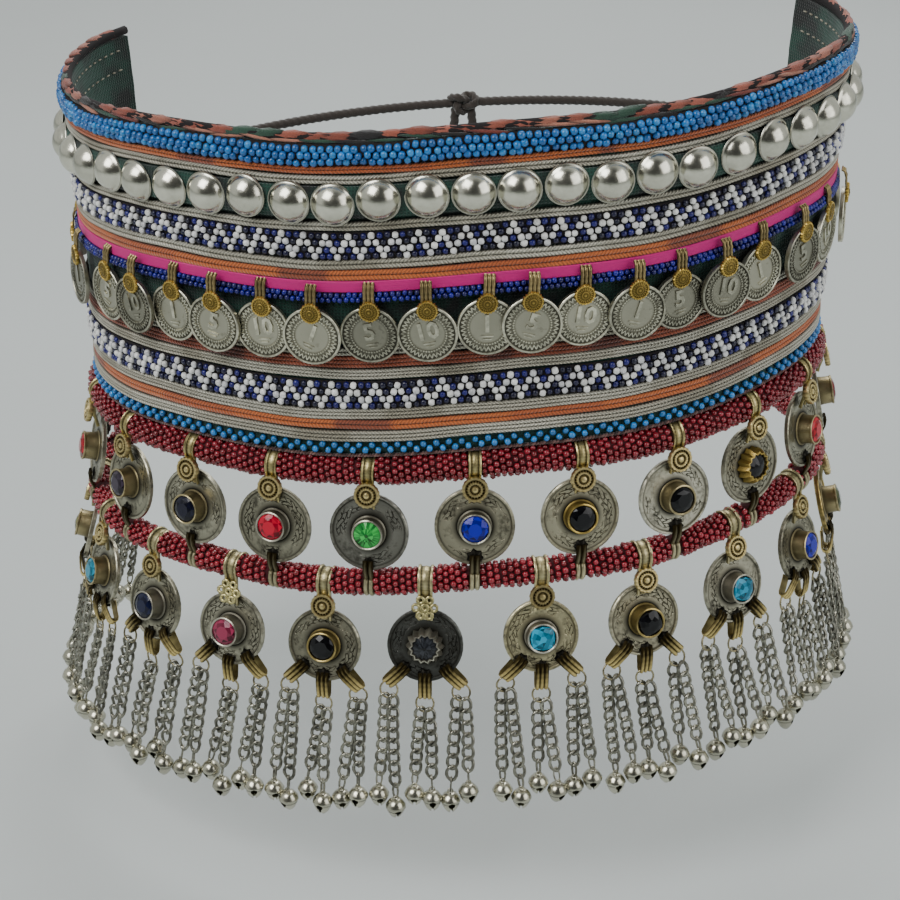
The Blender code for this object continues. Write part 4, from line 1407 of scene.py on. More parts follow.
# %% [markdown]
# ## The bead ropes
# Two ropes of ruby seed beads carry the medallions. A thread of beads is wound round a soft core,
# so the beads stand in rings, 12 to a ring on the upper rope. Each ring is turned half a bead
# against the last, and the beads lie along the winding, not along the rope. The core stays bare
# where a strap goes round it, so the straps sit in nicks of the rope. From one strap to the next,
# the rings are spread evenly, about 2.28 mm apart.

# %% Make the bead ropes
ROPE_BEAD = 2.4
RING_PITCH = 2.28
RING_STRAY = 0.12
STRAP_ROOM = 3.2
END_ROOM = 1.6
BEAD_SINK = 0.6
CORE_SINK = 1.0
RING_LEAN = 9.0
RUBY = ("8f1826", "9a1c2c", "841420", "a82636")


def rings_between(straps, height):
    """Frames for the rings of beads, which fill the rope evenly from each strap to the next."""
    chance = random.Random(round(100.0 * height))
    end = BAND_HALF_LENGTH + STRAP_ROOM - END_ROOM
    stops = [-end] + sorted(straps) + [end]
    rings = []
    for start, stop in zip(stops, stops[1:]):
        room = stop - start - 2.0 * STRAP_ROOM
        if room < 0.0:
            continue
        steps = int(room / RING_PITCH + 0.4)
        first = start + STRAP_ROOM + (0.0 if steps else 0.5 * room)
        for i in range(steps + 1):
            place = first + i * room / max(steps, 1) + chance.uniform(-RING_STRAY, RING_STRAY)
            rings.append(placed(place, height + chance.uniform(-RING_STRAY, RING_STRAY), 0.0))
    return rings


def bead_rope(name, height, radius, shade, straps, seed):
    chance = random.Random(seed)
    section = round_section(height, 0.0, radius - CORE_SINK, 10)
    core = strip(f"{name}_core", section, ROPE_CORE, angle=180.0)
    count = round(math.tau * (radius - BEAD_SINK) / ROPE_BEAD)
    spots = []
    for i, ring in enumerate(rings_between(straps, height)):
        winding = radius - BEAD_SINK + chance.uniform(-0.3, 0.25)
        lean = math.radians(RING_LEAN + chance.uniform(-4.0, 4.0))
        tilted = ring @ Matrix.Rotation(lean, 4, "Z")
        for j in range(count):
            around = Matrix.Rotation(math.tau * (j + 0.5 * (i % 2)) / count, 4, "X")
            crosswise = Matrix.Rotation(math.radians(90.0), 4, "Z")
            out = Matrix.Translation((0.0, 0.0, winding + chance.uniform(-0.15, 0.15)))
            spot = tilted @ around @ out @ crosswise
            colour = linear(chance.choice(RUBY), shade * chance.uniform(0.85, 1.1))
            spots.append((spot, colour, 1.0))
    beads = repeated(
        f"{name}_beads", SMALL_BEAD, spots, RUBY_GLASS, width=RING_PITCH * MM,
        length=2.3 * MM, height=2.3 * MM, size_unevenness=0.1, tilt_unevenness=0.35,
        turn_unevenness=0.3, seed=seed,
    )
    return finish_piece(joined(f"{name}_wound", core, beads), "ruby_beads", name)


upper_places = [row[0] for row in UPPER_MEDALLIONS]
lower_places = [row[0] for row in LOWER_MEDALLIONS]
bead_rope("bead_rope_upper", ROPE_UPPER_HEIGHT, 5.2, 0.8, upper_places, 51)
bead_rope("bead_rope_lower", ROPE_LOWER_HEIGHT, 4.8, 1.0, upper_places + lower_places, 52)

# %% [markdown]
# ## The medallion's disc
# Each medallion is a cast disc with a raised rim and a worn engraved scroll, and a tube in its
# middle holds a glass stone. The engraving is a ring of curling lines in the material, which reads
# the distance and the angle from the centre out of the UV map and sinks the metal there. It is a
# generic scroll.

# %% Disc material with its engraving
SCROLL_RADIUS = 10.1
SCROLL_HALF_WIDTH = 1.9
LEAVES = 12.0
SCROLL_WAVES = 9.0
ENGRAVED = PEWTER.copy()
ENGRAVED.name = "engraved_cast_pewter"
tree = ENGRAVED.node_tree
shader = tree.nodes["Principled BSDF"]


def sine_of(value, times, more=0.0):
    """The sine of a value times a number, with more added to it."""
    turn = add(
        tree, "ShaderNodeMath", {"operation": "MULTIPLY_ADD"}, {0: value, 1: times, 2: more}
    ).outputs[0]
    return add(tree, "ShaderNodeMath", {"operation": "SINE"}, {0: turn}).outputs[0]


def near_zero(value, width):
    """1 where a value is zero, falling to 0 at a width."""
    size = add(tree, "ShaderNodeMath", {"operation": "ABSOLUTE"}, {0: value}).outputs[0]
    return add(
        tree, "ShaderNodeMapRange", {},
        {"Value": size, "From Min": 0.0, "From Max": width, "To Min": 1.0, "To Max": 0.0},
    ).outputs[0]


uv = add(tree, "ShaderNodeUVMap", {"uv_map": "UVMap"}).outputs["UV"]
reach = add(tree, "ShaderNodeVectorMath", {"operation": "LENGTH"}, {0: uv}).outputs["Value"]
parts_of = add(tree, "ShaderNodeSeparateXYZ", {}, {"Vector": uv}).outputs
angle = add(
    tree, "ShaderNodeMath", {"operation": "ARCTAN2"}, {0: parts_of["Y"], 1: parts_of["X"]}
).outputs[0]
curl = sine_of(reach, 2.6)
leaves = near_zero(sine_of(angle, LEAVES, curl), 0.4)
swing = sine_of(angle, SCROLL_WAVES)
garland = near_zero(sine_of(reach, 2.2, swing), 0.35)
line = add(tree, "ShaderNodeMath", {"operation": "MAXIMUM"}, {0: leaves, 1: garland}).outputs[0]
from_middle = add(
    tree, "ShaderNodeMath", {"operation": "SUBTRACT"}, {0: reach, 1: SCROLL_RADIUS}
).outputs[0]
ring = near_zero(from_middle, SCROLL_HALF_WIDTH)
place = add(tree, "ShaderNodeTexCoord").outputs["Object"]
wear = add(tree, "ShaderNodeTexNoise", {}, {"Vector": place, "Scale": 110.0}).outputs["Fac"]
wear = add(
    tree, "ShaderNodeMapRange", {}, {"Value": wear, "From Min": 0.42, "From Max": 0.54}
).outputs[0]
cut = add(tree, "ShaderNodeMath", {"operation": "MULTIPLY"}, {0: line, 1: wear}).outputs[0]
cut = add(
    tree, "ShaderNodeMath", {"operation": "MULTIPLY"},
    {0: cut, 1: add(
        tree, "ShaderNodeMath", {"operation": "MULTIPLY", "use_clamp": True}, {0: ring, 1: 4.0}
    ).outputs[0]},
).outputs[0]
old_mix = next(n for n in tree.nodes if n.bl_idname == "ShaderNodeMix")
old_bump = next(n for n in tree.nodes if n.bl_idname == "ShaderNodeBump")
darker = add(
    tree, "ShaderNodeMix", {"data_type": "RGBA"},
    {0: cut, 6: old_mix.outputs[2], 7: linear("17150f")},
).outputs[2]
groove = add(
    tree, "ShaderNodeBump", {"invert": True},
    {"Height": cut, "Distance": 0.0006, "Normal": old_bump.outputs["Normal"]},
).outputs["Normal"]
tree.links.new(darker, shader.inputs["Base Color"])
tree.links.new(groove, shader.inputs["Normal"])
print("made", ENGRAVED.name)

# %% [markdown]
# ## Glass stones
# The stones are pressed glass with a foil back, so light comes back from their facets in
# different strengths. A cut is the convex hull of a few rings of points, shaded flat. Each facet
# has a painted reflection of the foil, a seeded random brightness kept as an attribute of the
# face that scales its colour.

# %% Stone shapes and material


def cut_stone(name, rings, seed):
    """A stone from rings of (radius, out, count, turn in degrees)."""
    chance = random.Random(seed)
    mesh = bpy.data.meshes.new(name)
    work = bmesh.new()
    for radius, out, count, start in rings:
        for i in range(count):
            turn = math.tau * i / count + math.radians(start)
            work.verts.new((radius * math.cos(turn), radius * math.sin(turn), out))
    bmesh.ops.convex_hull(work, input=work.verts)
    bmesh.ops.dissolve_limit(work, angle_limit=0.01, verts=work.verts, edges=work.edges)
    bmesh.ops.recalc_face_normals(work, faces=work.faces)
    work.to_mesh(mesh)
    work.free()
    # A random painted glint for each face.
    layer = mesh.attributes.new("painted_facet_glint", "FLOAT", "FACE")
    layer.data.foreach_set("value", [chance.uniform(0.0, 1.0) for _ in mesh.polygons])
    return scaled(new_object(name, mesh), MM)


ROUND_CUT = cut_stone("round_cut", (
    (4.8, -0.8, 16, 0.0), (4.85, 0.0, 16, 0.0), (3.9, 0.8, 8, 22.5), (2.5, 1.35, 8, 0.0),
), 61)
RADIAL_CUT = cut_stone("radial_cut", (
    (4.8, -0.8, 24, 0.0), (4.85, 0.0, 24, 0.0), (2.4, 1.0, 24, 7.5), (0.7, 1.4, 8, 0.0),
), 62)
CUSHION_CUT = cut_stone("cushion_cut", (
    (5.2, -0.8, 4, 45.0), (5.5, 0.1, 4, 45.0), (4.5, 0.1, 4, 0.0), (4.0, 0.8, 12, 22.5),
    (2.9, 1.3, 8, 0.0), (1.3, 1.5, 6, 10.0),
), 63)
STONES = {"round": ROUND_CUT, "radial": RADIAL_CUT, "cushion": CUSHION_CUT}
STONE_GLASS, tree, shader = begin_material(
    "foil_backed_cut_glass", roughness=0.08, ior=1.5, specular_ior_level=0.3
)
tint = add(tree, "ShaderNodeAttribute", {"attribute_name": "tint"}).outputs["Color"]
painted_facet_glint = add(tree, "ShaderNodeAttribute", {"attribute_name": "painted_facet_glint"}).outputs["Fac"]
# Painted reflection: each facet's colour is scaled by its glint, from 0.2 to 1.9.
share = add(
    tree, "ShaderNodeMapRange", {}, {"Value": painted_facet_glint, "To Min": 0.2, "To Max": 1.9}
).outputs[0]
colour = add(tree, "ShaderNodeVectorMath", {"operation": "SCALE"}, {0: tint, "Scale": share}).outputs[0]
tree.links.new(colour, shader.inputs["Base Color"])
print("a round cut has", len(ROUND_CUT.data.polygons), "facets")

# %% [markdown]
# ## Discs, stones and collars
# The disc's profile goes from the back, round the raised rim and over the engraved face. A tube of
# thinner sheet stands on it, with a lip rolled over the stone. The tubes in the middle of the
# belt are shorter than the others, and two are cut into teeth. The discs lean back a little at
# the top, because they hang against the hips.

# %% Make discs and stones
SHORT_TUBE = 6.3
LONG_TUBE = 8.3


def disc_shape(name, radius):
    profile = [
        (0.0, 1.2, 0.5), (radius - 0.4, 1.2, 0.4), (radius, 1.5, 0.1), (radius, 2.7, 0.0),
        (radius - 0.35, 3.05, 0.0), (radius - 0.9, 3.0, 0.0), (radius - 1.3, 2.5, 0.8),
        (radius - 2.0, 2.45, 0.3), (9.0, 2.45, 0.1), (7.4, 2.45, 0.6), (6.4, 2.6, 1.0),
        (0.0, 2.6, 1.0),
    ]
    return scaled(turned(name, profile, 40, angle=30.0), MM)


UPPER_DISC = disc_shape("upper_disc", 14.2)
LOWER_DISC = disc_shape("lower_disc", 13.7)


def tube_shape(name, front):
    profile = [
        (6.3, 2.3, 1.0), (6.1, 2.8, 0.5), (5.6, 3.1, 0.8), (5.35, 4.5, 0.5), (5.3, front - 0.8, 0.2),
        (5.6, front - 0.5, 0.0), (5.6, front, 0.0), (5.2, front + 0.2, 0.0), (4.9, front, 0.3),
        (4.8, front - 0.9, 1.0), (0.0, front - 0.9, 1.0),
    ]
    return scaled(turned(name, profile, 28, angle=40.0), MM)


TUBES = {SHORT_TUBE: tube_shape("short_tube", SHORT_TUBE), LONG_TUBE: tube_shape("long_tube", LONG_TUBE)}
TEETH = scaled(turned("toothed_collar", [
    (7.0, 2.5, 0.7), (7.0, 3.0, 0.2), (6.6, SHORT_TUBE - 1.4, 0.3), (5.6, SHORT_TUBE + 0.5, 0.0),
    (5.1, SHORT_TUBE + 0.6, 0.0), (4.7, SHORT_TUBE - 0.2, 0.8), (4.7, 2.5, 0.8),
], 28, teeth=0.16), MM)
UPPER_CUTS = {5: "radial", 9: "radial"}
LOWER_CUTS = {1: "radial", 6: "radial", 7: "cushion", 9: "cushion", 8: "cushion"}
TOOTHED = {"upper": 9, "lower": 6}
MIDDLE = 70.0


def medallion_fronts(name, rows, frames, drop, disc, cuts, seed):
    """The discs, tubes and stones of one row of medallions."""
    centres = [moved(f, y=-drop) @ Matrix.Rotation(DISC_TILT, 4, "X") for f in frames]
    spots = [(centre, linear(row[2]), 1.0) for centre, row in zip(centres, rows)]
    parts = [repeated(f"{name}_discs", disc, spots, ENGRAVED, turn_unevenness=3.0, seed=seed)]
    fronts = [SHORT_TUBE if abs(row[0]) < MIDDLE else LONG_TUBE for row in rows]
    fronts[TOOTHED[name]] = SHORT_TUBE
    tubes = [(centre, linear(row[3]), 1.0) for centre, row in zip(centres, rows)]
    for front, shape in TUBES.items():
        spots = [
            tube for i, tube in enumerate(tubes) if fronts[i] == front and i != TOOTHED[name]
        ]
        parts.append(repeated(
            f"{name}_tubes_{front:.0f}", shape, spots, BRASS, turn_unevenness=3.0, seed=seed
        ))
    parts.append(repeated(f"{name}_collar", TEETH, [tubes[TOOTHED[name]]], BRASS, seed=seed))
    for cut, shape in STONES.items():
        spots = [
            (moved(centre, z=fronts[i] - 0.3), linear(row[1]), 1.0)
            for i, (centre, row) in enumerate(zip(centres, rows)) if cuts.get(i, "round") == cut
        ]
        if spots:
            parts.append(repeated(
                f"{name}_{cut}_stones", shape, spots, STONE_GLASS, turn_unevenness=0.4, seed=seed
            ))
    return parts


upper_parts = medallion_fronts(
    "upper", UPPER_MEDALLIONS, upper_frames, UPPER_DISC_DROP, UPPER_DISC, UPPER_CUTS, 71
)
lower_parts = medallion_fronts(
    "lower", LOWER_MEDALLIONS, lower_frames, LOWER_DISC_DROP, LOWER_DISC, LOWER_CUTS, 74
)

# %% [markdown]
# ## Straps round the ropes
# A ridged strap is soldered to each disc and bent round the rope above it, and the upper discs
# have a second one round the rope below. Where strap meets disc, a round boss covers the joint:
# a small brass disc with a toothed edge and rings. Two of the lower discs have a rosette of wire
# rings there instead.

# %% Make straps and bosses
OVER_RADIUS = 4.6
UNDER_RADIUS = 4.2
SOLDER_DROP = 34.6
EDGED = [
    (-2.2, 0.0, 0.6), (2.2, 0.0, 0.6), (2.2, 1.1, 0.1), (1.85, 1.3, 0.0), (1.5, 1.1, 0.1),
    (1.25, 0.55, 0.9), (0.5, 0.6, 0.3), (0.0, 0.8, 0.1), (-0.5, 0.6, 0.3), (-1.25, 0.55, 0.9),
    (-1.5, 1.1, 0.1), (-1.85, 1.3, 0.0), (-2.2, 1.1, 0.1),
]
WIDE = [(1.2 * x, thick, hollow) for x, thick, hollow in EDGED]
over_line = [(-13.5, 1.9), (-9.0, 3.4)] + arc(0.0, OVER_RADIUS, -38.0, 75.0, 9)
OVER = bent_strip("over_strap", finer(over_line, 2), EDGED, side=-1.0, milled=0.16)
under_line = [(-33.4, 4.6), (-35.2, 5.0), (-37.6, 4.6)]
under_line += arc(-ROPE_DROP, UNDER_RADIUS, 44.0, -132.0, 12)
UNDER = bent_strip("under_strap", under_line, wires(3.8, 2, 0.3), side=1.0, dark_start=1.0)
top_line = [(-14.5, 1.9), (-9.5, 2.6)] + arc(0.0, UNDER_RADIUS, -40.0, 215.0, 16)
TOP = bent_strip("top_strap", finer(top_line, 2), WIDE, side=-1.0, milled=0.16)
BOSS = scaled(turned("boss", [
    (4.3, -0.8, 0.5), (4.5, 0.4, 0.1), (4.2, 1.1, 0.0), (3.5, 1.1, 0.1), (3.2, 0.5, 0.8),
    (2.8, 0.5, 0.7), (2.5, 1.2, 0.0), (1.9, 1.2, 0.1), (1.6, 0.6, 0.8), (1.2, 0.6, 0.6),
    (0.9, 1.2, 0.0), (0.0, 1.5, 0.0),
], 36, teeth=0.05), 1.06 * MM)
chance = random.Random(81)


def in_brass(frames, colour="f2dc9c", **where):
    tilt = Matrix.Rotation(1.5 * DISC_TILT, 4, "X") if where else Matrix()
    return [(moved(f, **where) @ tilt, linear(colour, chance.uniform(0.7, 1.0)), 1.0) for f in frames]


upper_parts.append(repeated("over_straps", OVER, in_brass(upper_frames, "d8c88e"), BRASS, seed=82))
upper_parts.append(repeated("under_straps", UNDER, in_brass(upper_frames, "dcd2aa"), BRASS, seed=83))
upper_parts.append(repeated(
    "upper_bosses", BOSS, in_brass(upper_frames, y=-7.4, z=5.7), BRASS, turn_unevenness=1.0, seed=84
))
lower_parts.append(repeated("top_straps", TOP, in_brass(lower_frames, "dcd0a0"), BRASS, seed=85))
SOLDER = scaled(turned("solder", [
    (3.3, 2.2, 1.0), (3.1, 3.6, 0.9), (2.2, 4.2, 0.8), (1.0, 4.5, 0.7), (0.0, 4.5, 0.7),
], 14, teeth=0.22, angle=180.0), MM)
solder_spots = [(moved(f, y=-SOLDER_DROP), linear("5a564c"), 1.0) for f in upper_frames]
upper_parts.append(repeated(
    "upper_solder", SOLDER, solder_spots, STEEL, size_unevenness=0.1, turn_unevenness=3.0, seed=88
))
ROSETTES = (4, 6)
plain = [f for i, f in enumerate(lower_frames) if i not in ROSETTES]
lower_parts.append(repeated(
    "lower_bosses", BOSS, in_brass(plain, y=-8.4, z=4.6), BRASS, turn_unevenness=1.0, seed=86
))
finish_piece(
    joined("upper_medallions_set", *upper_parts), "medallion_metal",
    *[f"upper_medallion_{i + 1:02d}" for i in range(len(UPPER_MEDALLIONS))],
)

# %% [markdown]
# ## Bails, rings, chains and bells
# Three bails fan out under each lower disc, each bent from a strip of ridged wire and darkest
# at its soldered end. A wire ring hangs straight down from each, and two curb chains hang from
# each ring. The links of a curb chain are all twisted the same way, so they lie flat in each
# other. One function makes a round wire along an oval, which may be twisted after. A rosette is
# six small rings round a seventh.

# %% Shapes of the wire pieces
PETALS = 6
PETAL_CIRCLE = 2.9


def wire_oval(name, length, width, wire, steps=12, sides=5, turn=0.0):
    """A ring of round wire in millimetres, its long way along X, with a twist in radians."""
    rings = []
    for i in range(steps):
        spin = math.tau * (i + 0.5) / steps
        away = Vector((math.cos(spin), math.sin(spin), 0.0))
        centre = Vector((away.x * (length - wire) / 2.0, away.y * (width - wire) / 2.0, 0.0))
        ring = []
        for j in range(sides):
            angle = math.tau * (j + 0.5) / sides
            up = Vector((0.0, 0.0, math.sin(angle)))
            ring.append(centre + (away * math.cos(angle) + up) * wire / 2.0)
        rings.append(ring)
    made = skinned(name, rings, STEEL, smooth_angle=180.0, closed=True)
    made.data.materials.clear()
    return twisted(made, turn / (length * MM))


LINK = wire_oval("link", 7.2, 5.3, 1.4, turn=math.radians(70.0))
END_LINK = wire_oval("end_link", 6.8, 3.0, 0.9, steps=10, sides=4)
JUMP_RING = wire_oval("jump_ring", 7.4, 7.4, 0.8, steps=16)
BAIL_FOLD = [
    (-18.9 - 1.55 * math.sin(math.radians(a)), 2.55 + 1.25 * math.cos(math.radians(a)))
    for a in (20, 60, 100, 140, 170)
]
chain_bail_line = [(-10.0, 4.2), (-12.0, 4.9), (-14.0, 4.9), (-16.2, 4.5), (-18.2, 4.1)] + BAIL_FOLD
chain_bail_line += [(-15.5, 1.3), (-12.5, 1.2)]
CHAIN_BAIL = bent_strip(
    "chain_bail", finer(chain_bail_line, 2), wires(4.8, 3, 0.15), side=1.0, dark_start=1.0, milled=0.12
)
petals = []
for i in range(PETALS):
    petal = wire_oval("petal", 3.4, 3.4, 1.2, steps=8, sides=4)
    spin = math.tau * i / PETALS
    away = Vector((math.cos(spin), math.sin(spin), 0.0))
    petal.data.transform(Matrix.Translation(away * PETAL_CIRCLE * MM))
    petals.append(petal)
petals.append(wire_oval("middle", 3.6, 3.6, 1.5, steps=10, sides=4))
ROSETTE = scaled(joined("rosette", *petals), 1.12)
rosettes = in_brass([lower_frames[i] for i in ROSETTES], "e0d498", y=-8.8, z=5.1)
lower_parts.append(repeated("rosettes", ROSETTE, rosettes, BRASS, seed=87))
print("a link has", len(LINK.data.polygons), "faces")

# %% [markdown]
# ## A bell
# A bell is two pressed cups, crimped together at the waist, with a keyhole slit in the lower one.
# Its loose steel ball is left out, as nothing of it shows. The shell is turned and given its wall
# by Solidify, and a keyhole is cut through it by Boolean: a round hole below the waist, and a slit
# on from it.

# %% Shape of the bell
BELL_PROFILE = [
    (0.0, -5.2, 0.2), (1.4, -4.8, 0.1), (2.4, -3.6, 0.0), (3.2, -1.9, 0.0), (3.5, -0.6, 0.6),
    (3.85, -0.3, 0.0), (3.8, 0.2, 0.2), (3.5, 0.9, 0.2), (2.6, 2.3, 0.0), (1.3, 3.0, 0.1),
    (0.0, 3.1, 0.4),
]
BELL_WALL = 0.25
HOLE_HEIGHT = -1.2


def bell_shape():
    shell = turned("bell", BELL_PROFILE, 12, angle=60.0)
    shell.data.transform(Matrix.Rotation(math.radians(-90.0), 4, "X"))
    wall = shell.modifiers.new("wall", "SOLIDIFY")
    wall.thickness = BELL_WALL
    wall.offset = -1.0
    cutter = bmesh.new()
    bmesh.ops.create_cone(cutter, cap_ends=True, segments=8, radius1=1.3, radius2=1.3, depth=9.0)
    bmesh.ops.translate(cutter, verts=cutter.verts, vec=(0.0, HOLE_HEIGHT, 4.5))
    hole = bpy.data.meshes.new("hole")
    cutter.to_mesh(hole)
    cutter.clear()
    bar = Matrix.Translation((0.0, HOLE_HEIGHT - 2.0, 4.0)) @ Matrix.Diagonal((0.95, 4.2, 9.0, 1.0))
    bmesh.ops.create_cube(cutter, size=1.0, matrix=bar)
    slit = bpy.data.meshes.new("slit")
    cutter.to_mesh(slit)
    cutter.free()
    cutters = [new_object("hole", hole), new_object("slit", slit)]
    for gone in cutters:
        cut = shell.modifiers.new(gone.name, "BOOLEAN")
        cut.operation = "DIFFERENCE"
        cut.solver = "EXACT"
        cut.use_self = True
        cut.object = gone
    whole = new_object("bell_whole", plain_mesh(shell))
    for gone in [shell] + cutters:
        bpy.data.objects.remove(gone)
    loop = wire_oval("loop", 2.6, 2.6, 0.6, steps=8, sides=4)
    loop.data.transform(Matrix.Translation((0.0, 3.6, 0.0)) @ Matrix.Scale(1.0 / MM, 4))
    return scaled(joined("bell_shape", whole, loop), MM)


BELL = bell_shape()
BELL.data.materials.clear()
print("a bell has", len(BELL.data.polygons), "faces")

# %% [markdown]
# ## Hanging the chains
# Every chain runs from the foot of its ring to the loop of its bell, and its last link is
# narrower and of thinner wire. The bells follow the flare of the belt, about 6.7 mm apart. Their
# heights wander by about 2 mm either way, and each second one is a little in front so that
# neighbours clear each other.

# %% Make bails, rings, chains and bells
CHAIN_SPACING = 5.95
BELL_HEIGHT = -184.6
BELL_STAGGER = 2.2
LINK_PITCH = 4.5
RING_DROP = 3.3
END_LINK_SPACE = 6.0
END_LINK_BACK = 2.6
BAIL_FAN = (-42.0, 0.0, 42.0)
BAIL_FOOT = Vector((0.0, -19.6, 2.55))
BELL_EYE = 4.0
BELL_LAP = 0.9
chance = random.Random(91)
bail_spots, ring_spots, link_spots, end_spots, bell_spots = [], [], [], [], []
solder_spots = []


def along_line(spot, ahead, facing):
    """A frame at a spot with X along a chain and Z out."""
    side = facing.cross(ahead).normalized()
    made = Matrix((ahead, side, ahead.cross(side))).transposed().to_4x4()
    made.translation = spot
    return made


def hang_chain(top, bottom, facing):
    """Links from the ring to the bell, with a slight bow, and the narrow last link."""
    ahead = (bottom - top).normalized()
    tint = chance.uniform(0.7, 1.05)
    spin = Matrix.Rotation(chance.uniform(0.0, 1.6), 4, "X")
    last = along_line(bottom - ahead * END_LINK_BACK, ahead, facing) @ spin
    end_spots.append((last, linear("aaa798", tint), 1.0))
    line = bottom - ahead * END_LINK_SPACE * 0.8 - top
    count = round(line.length / LINK_PITCH)
    bow = line.cross(facing).normalized() * chance.uniform(-0.5, 0.5)
    for i in range(count):
        share = (i + 0.5) / count
        spot = top + line * share + bow * math.sin(math.pi * share)
        link_spots.append((along_line(spot, ahead, facing), linear("a8a698", tint), 1.0))


for (place, *_), hung in zip(LOWER_MEDALLIONS, lower_frames):
    facing = outward(place)
    for hand, angle in enumerate(BAIL_FAN):
        fan = moved(hung, y=-LOWER_DISC_DROP) @ Matrix.Rotation(math.radians(angle), 4, "Z")
        solder_spots.append((moved(fan, y=-11.2, z=0.6), linear("5a564c"), 0.85))
        bail_spots.append((fan, linear("ffe69a", chance.uniform(0.9, 1.0)), 1.0))
        ring = Matrix.Translation(fan @ BAIL_FOOT) @ hung.to_3x3().to_4x4()
        ring = moved(ring, y=-RING_DROP)
        ring_spots.append((ring, linear("b0a684"), 1.0))
        for side in (-1, 1):
            index = 2 * hand + (side > 0)
            end = place + CHAIN_SPACING * (index - 2.5)
            drop = BELL_HEIGHT + BELL_STAGGER * math.sin(2.3 * index + 1.7 * place)
            bell = placed(end, drop, BELL_LAP * side)
            start = ring @ Vector((side * 1.5, -2.5, 0.5 * side))
            hang_chain(start, moved(bell, y=BELL_EYE).translation, facing)
            spun = bell @ Matrix.Rotation(chance.uniform(-0.5, 0.5), 4, "Y")
            bell_spots.append((spun, linear("c8c5b2", chance.uniform(0.75, 1.05)), 1.0))
lower_parts.append(repeated("chain_bails", CHAIN_BAIL, bail_spots, BRASS, seed=92))
lower_parts.append(repeated(
    "lower_solder", SOLDER, solder_spots, STEEL, size_unevenness=0.1, turn_unevenness=3.0, seed=89
))
lower_parts.append(repeated("jump_rings", JUMP_RING, ring_spots, STEEL, tilt_unevenness=0.2, seed=93))
lower_parts.append(repeated("links", LINK, link_spots, STEEL, tilt_unevenness=0.12, seed=94))
lower_parts.append(repeated("end_links", END_LINK, end_spots, STEEL, seed=96))
lower_parts.append(repeated("bells", BELL, bell_spots, NICKEL, tilt_unevenness=0.12, seed=95))
finish_piece(
    joined("lower_medallions_set", *lower_parts), "medallion_metal",
    *[f"lower_medallion_{i + 1:02d}" for i in range(len(LOWER_MEDALLIONS))],
)

# %% [markdown]
# ## Stitches inside the band
# The rows are sewn through the cloth, so their stitches show on its plain inside, as lines of
# short threads. They repeat like everything else, with their outs turned towards the wearer.

# %% Make the inside stitches
SEWN_HEIGHTS = (60.0, 52.5, 36.0, 22.5, 11.2, -9.4, -17.9, -33.3, -41.8)
SEWING_PITCH = 4.2
sewing = []
for height in SEWN_HEIGHTS:
    for spot in row_of(SEWING_PITCH, height, -CLOTH - 0.05, margin=3.0):
        about = spot @ Matrix.Rotation(math.radians(180.0), 4, "Y")
        sewing.append((about, linear(chance.choice(("c8bfa8", "b0a690"))), 1.0))
sewing = repeated(
    "inside_sewing", STITCH, sewing, COTTON_THREAD, width=2.6 * MM, length=0.7 * MM,
    height=0.7 * MM, turn_unevenness=0.12, seed=101,
)
finish_piece(sewing, "cotton_cord")

# %% [markdown]
# ## Clearing up
# The small shapes were only patterns, so they are removed.

patterns = [BEAD, SMALL_BEAD, STITCH, FOLD, DOME, BAIL, CAP, BOSS, OVER, UNDER, TOP, TEETH, BELL]
patterns += [UPPER_DISC, LOWER_DISC, LINK, END_LINK, JUMP_RING, CHAIN_BAIL, ROSETTE, SOLDER]
patterns += COINS + list(STONES.values()) + list(TUBES.values())
for pattern in patterns:
    bpy.data.objects.remove(pattern)

# %% [markdown]
# ## Floor and light
# The belt hangs over a plain pale floor. A big soft light above and to the left does most of the
# work, a weaker one fills from the right, and a third from behind picks out the edges. The world
# is brighter at the sides than in front, so that round metal shows its shape.

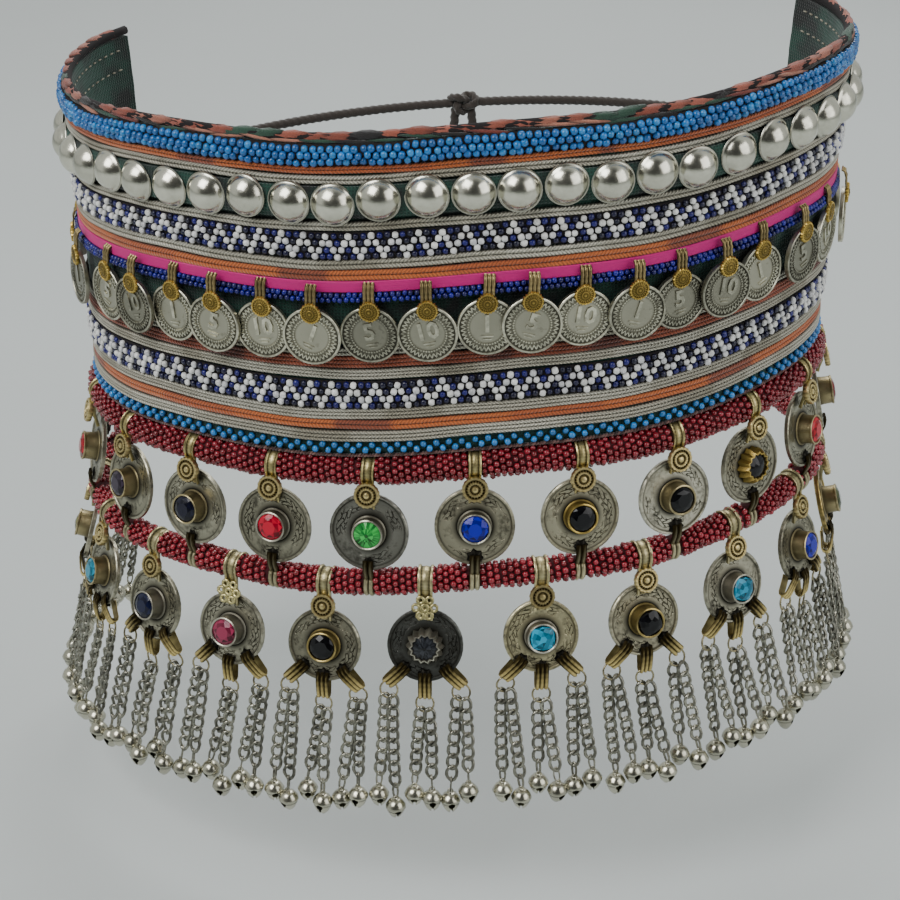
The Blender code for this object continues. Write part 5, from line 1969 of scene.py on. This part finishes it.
# %% Make the floor and lights
FLOOR_HEIGHT = -0.232
LIGHT_AIM = Vector((0.0, 0.0, -0.05))
DARK_SIDE = (0.05, -0.9, 0.42)
floor_mesh = bpy.data.meshes.new("floor")
floor_work = bmesh.new()
bmesh.ops.create_grid(floor_work, x_segments=1, y_segments=1, size=6.0)
bmesh.ops.translate(floor_work, verts=floor_work.verts, vec=(0.0, 0.0, FLOOR_HEIGHT))
floor_work.to_mesh(floor_mesh)
floor_work.free()
FLOOR, tree, shader = begin_material("matt_paper_floor", roughness=0.95)
place = add(tree, "ShaderNodeTexCoord").outputs["Object"]
paper = add(tree, "ShaderNodeTexNoise", {}, {"Vector": place, "Scale": 3.0})
ramp = add(tree, "ShaderNodeValToRGB", {}, {"Fac": paper.outputs["Fac"]})
ramp.color_ramp.elements[0].color = linear("b9bebd")
ramp.color_ramp.elements[1].color = linear("c3c8c7")
tree.links.new(ramp.outputs["Color"], shader.inputs["Base Color"])
floor_mesh.materials.append(FLOOR)
floor = new_object("floor", floor_mesh)
LIGHTS = (
    # name, place, size, watts
    ("key_light", (-0.9, -0.9, 1.3), 1.1, 26.0),
    ("fill_light", (1.2, -0.7, 0.6), 1.2, 10.0),
    ("back_light", (0.2, 1.1, 1.2), 1.0, 14.0),
)
for name, place, size, watts in LIGHTS:
    light_data = bpy.data.lights.new(name, "AREA")
    light_data.size = size
    light_data.energy = watts
    light = bpy.data.objects.new(name, light_data)
    light.location = place
    light.rotation_euler = (LIGHT_AIM - Vector(place)).to_track_quat("-Z", "Y").to_euler()
    bpy.context.scene.collection.objects.link(light)
world = bpy.data.worlds.new("studio")
bpy.context.scene.world = world
world.use_nodes = True
tree = world.node_tree
background = tree.nodes["Background"]
direction = add(tree, "ShaderNodeTexCoord").outputs["Generated"]
front = add(
    tree, "ShaderNodeVectorMath", {"operation": "DOT_PRODUCT"}, {0: direction, 1: DARK_SIDE}
).outputs["Value"]
glow = add(
    tree, "ShaderNodeMapRange", {"interpolation_type": "SMOOTHSTEP"},
    {"Value": front, "From Min": 0.35, "From Max": 0.8, "To Min": 0.75, "To Max": 0.06},
).outputs[0]
tree.links.new(glow, background.inputs["Strength"])
background.inputs["Color"].default_value = linear("e6eae8")
print("made the floor,", len(LIGHTS), "lights and the world")
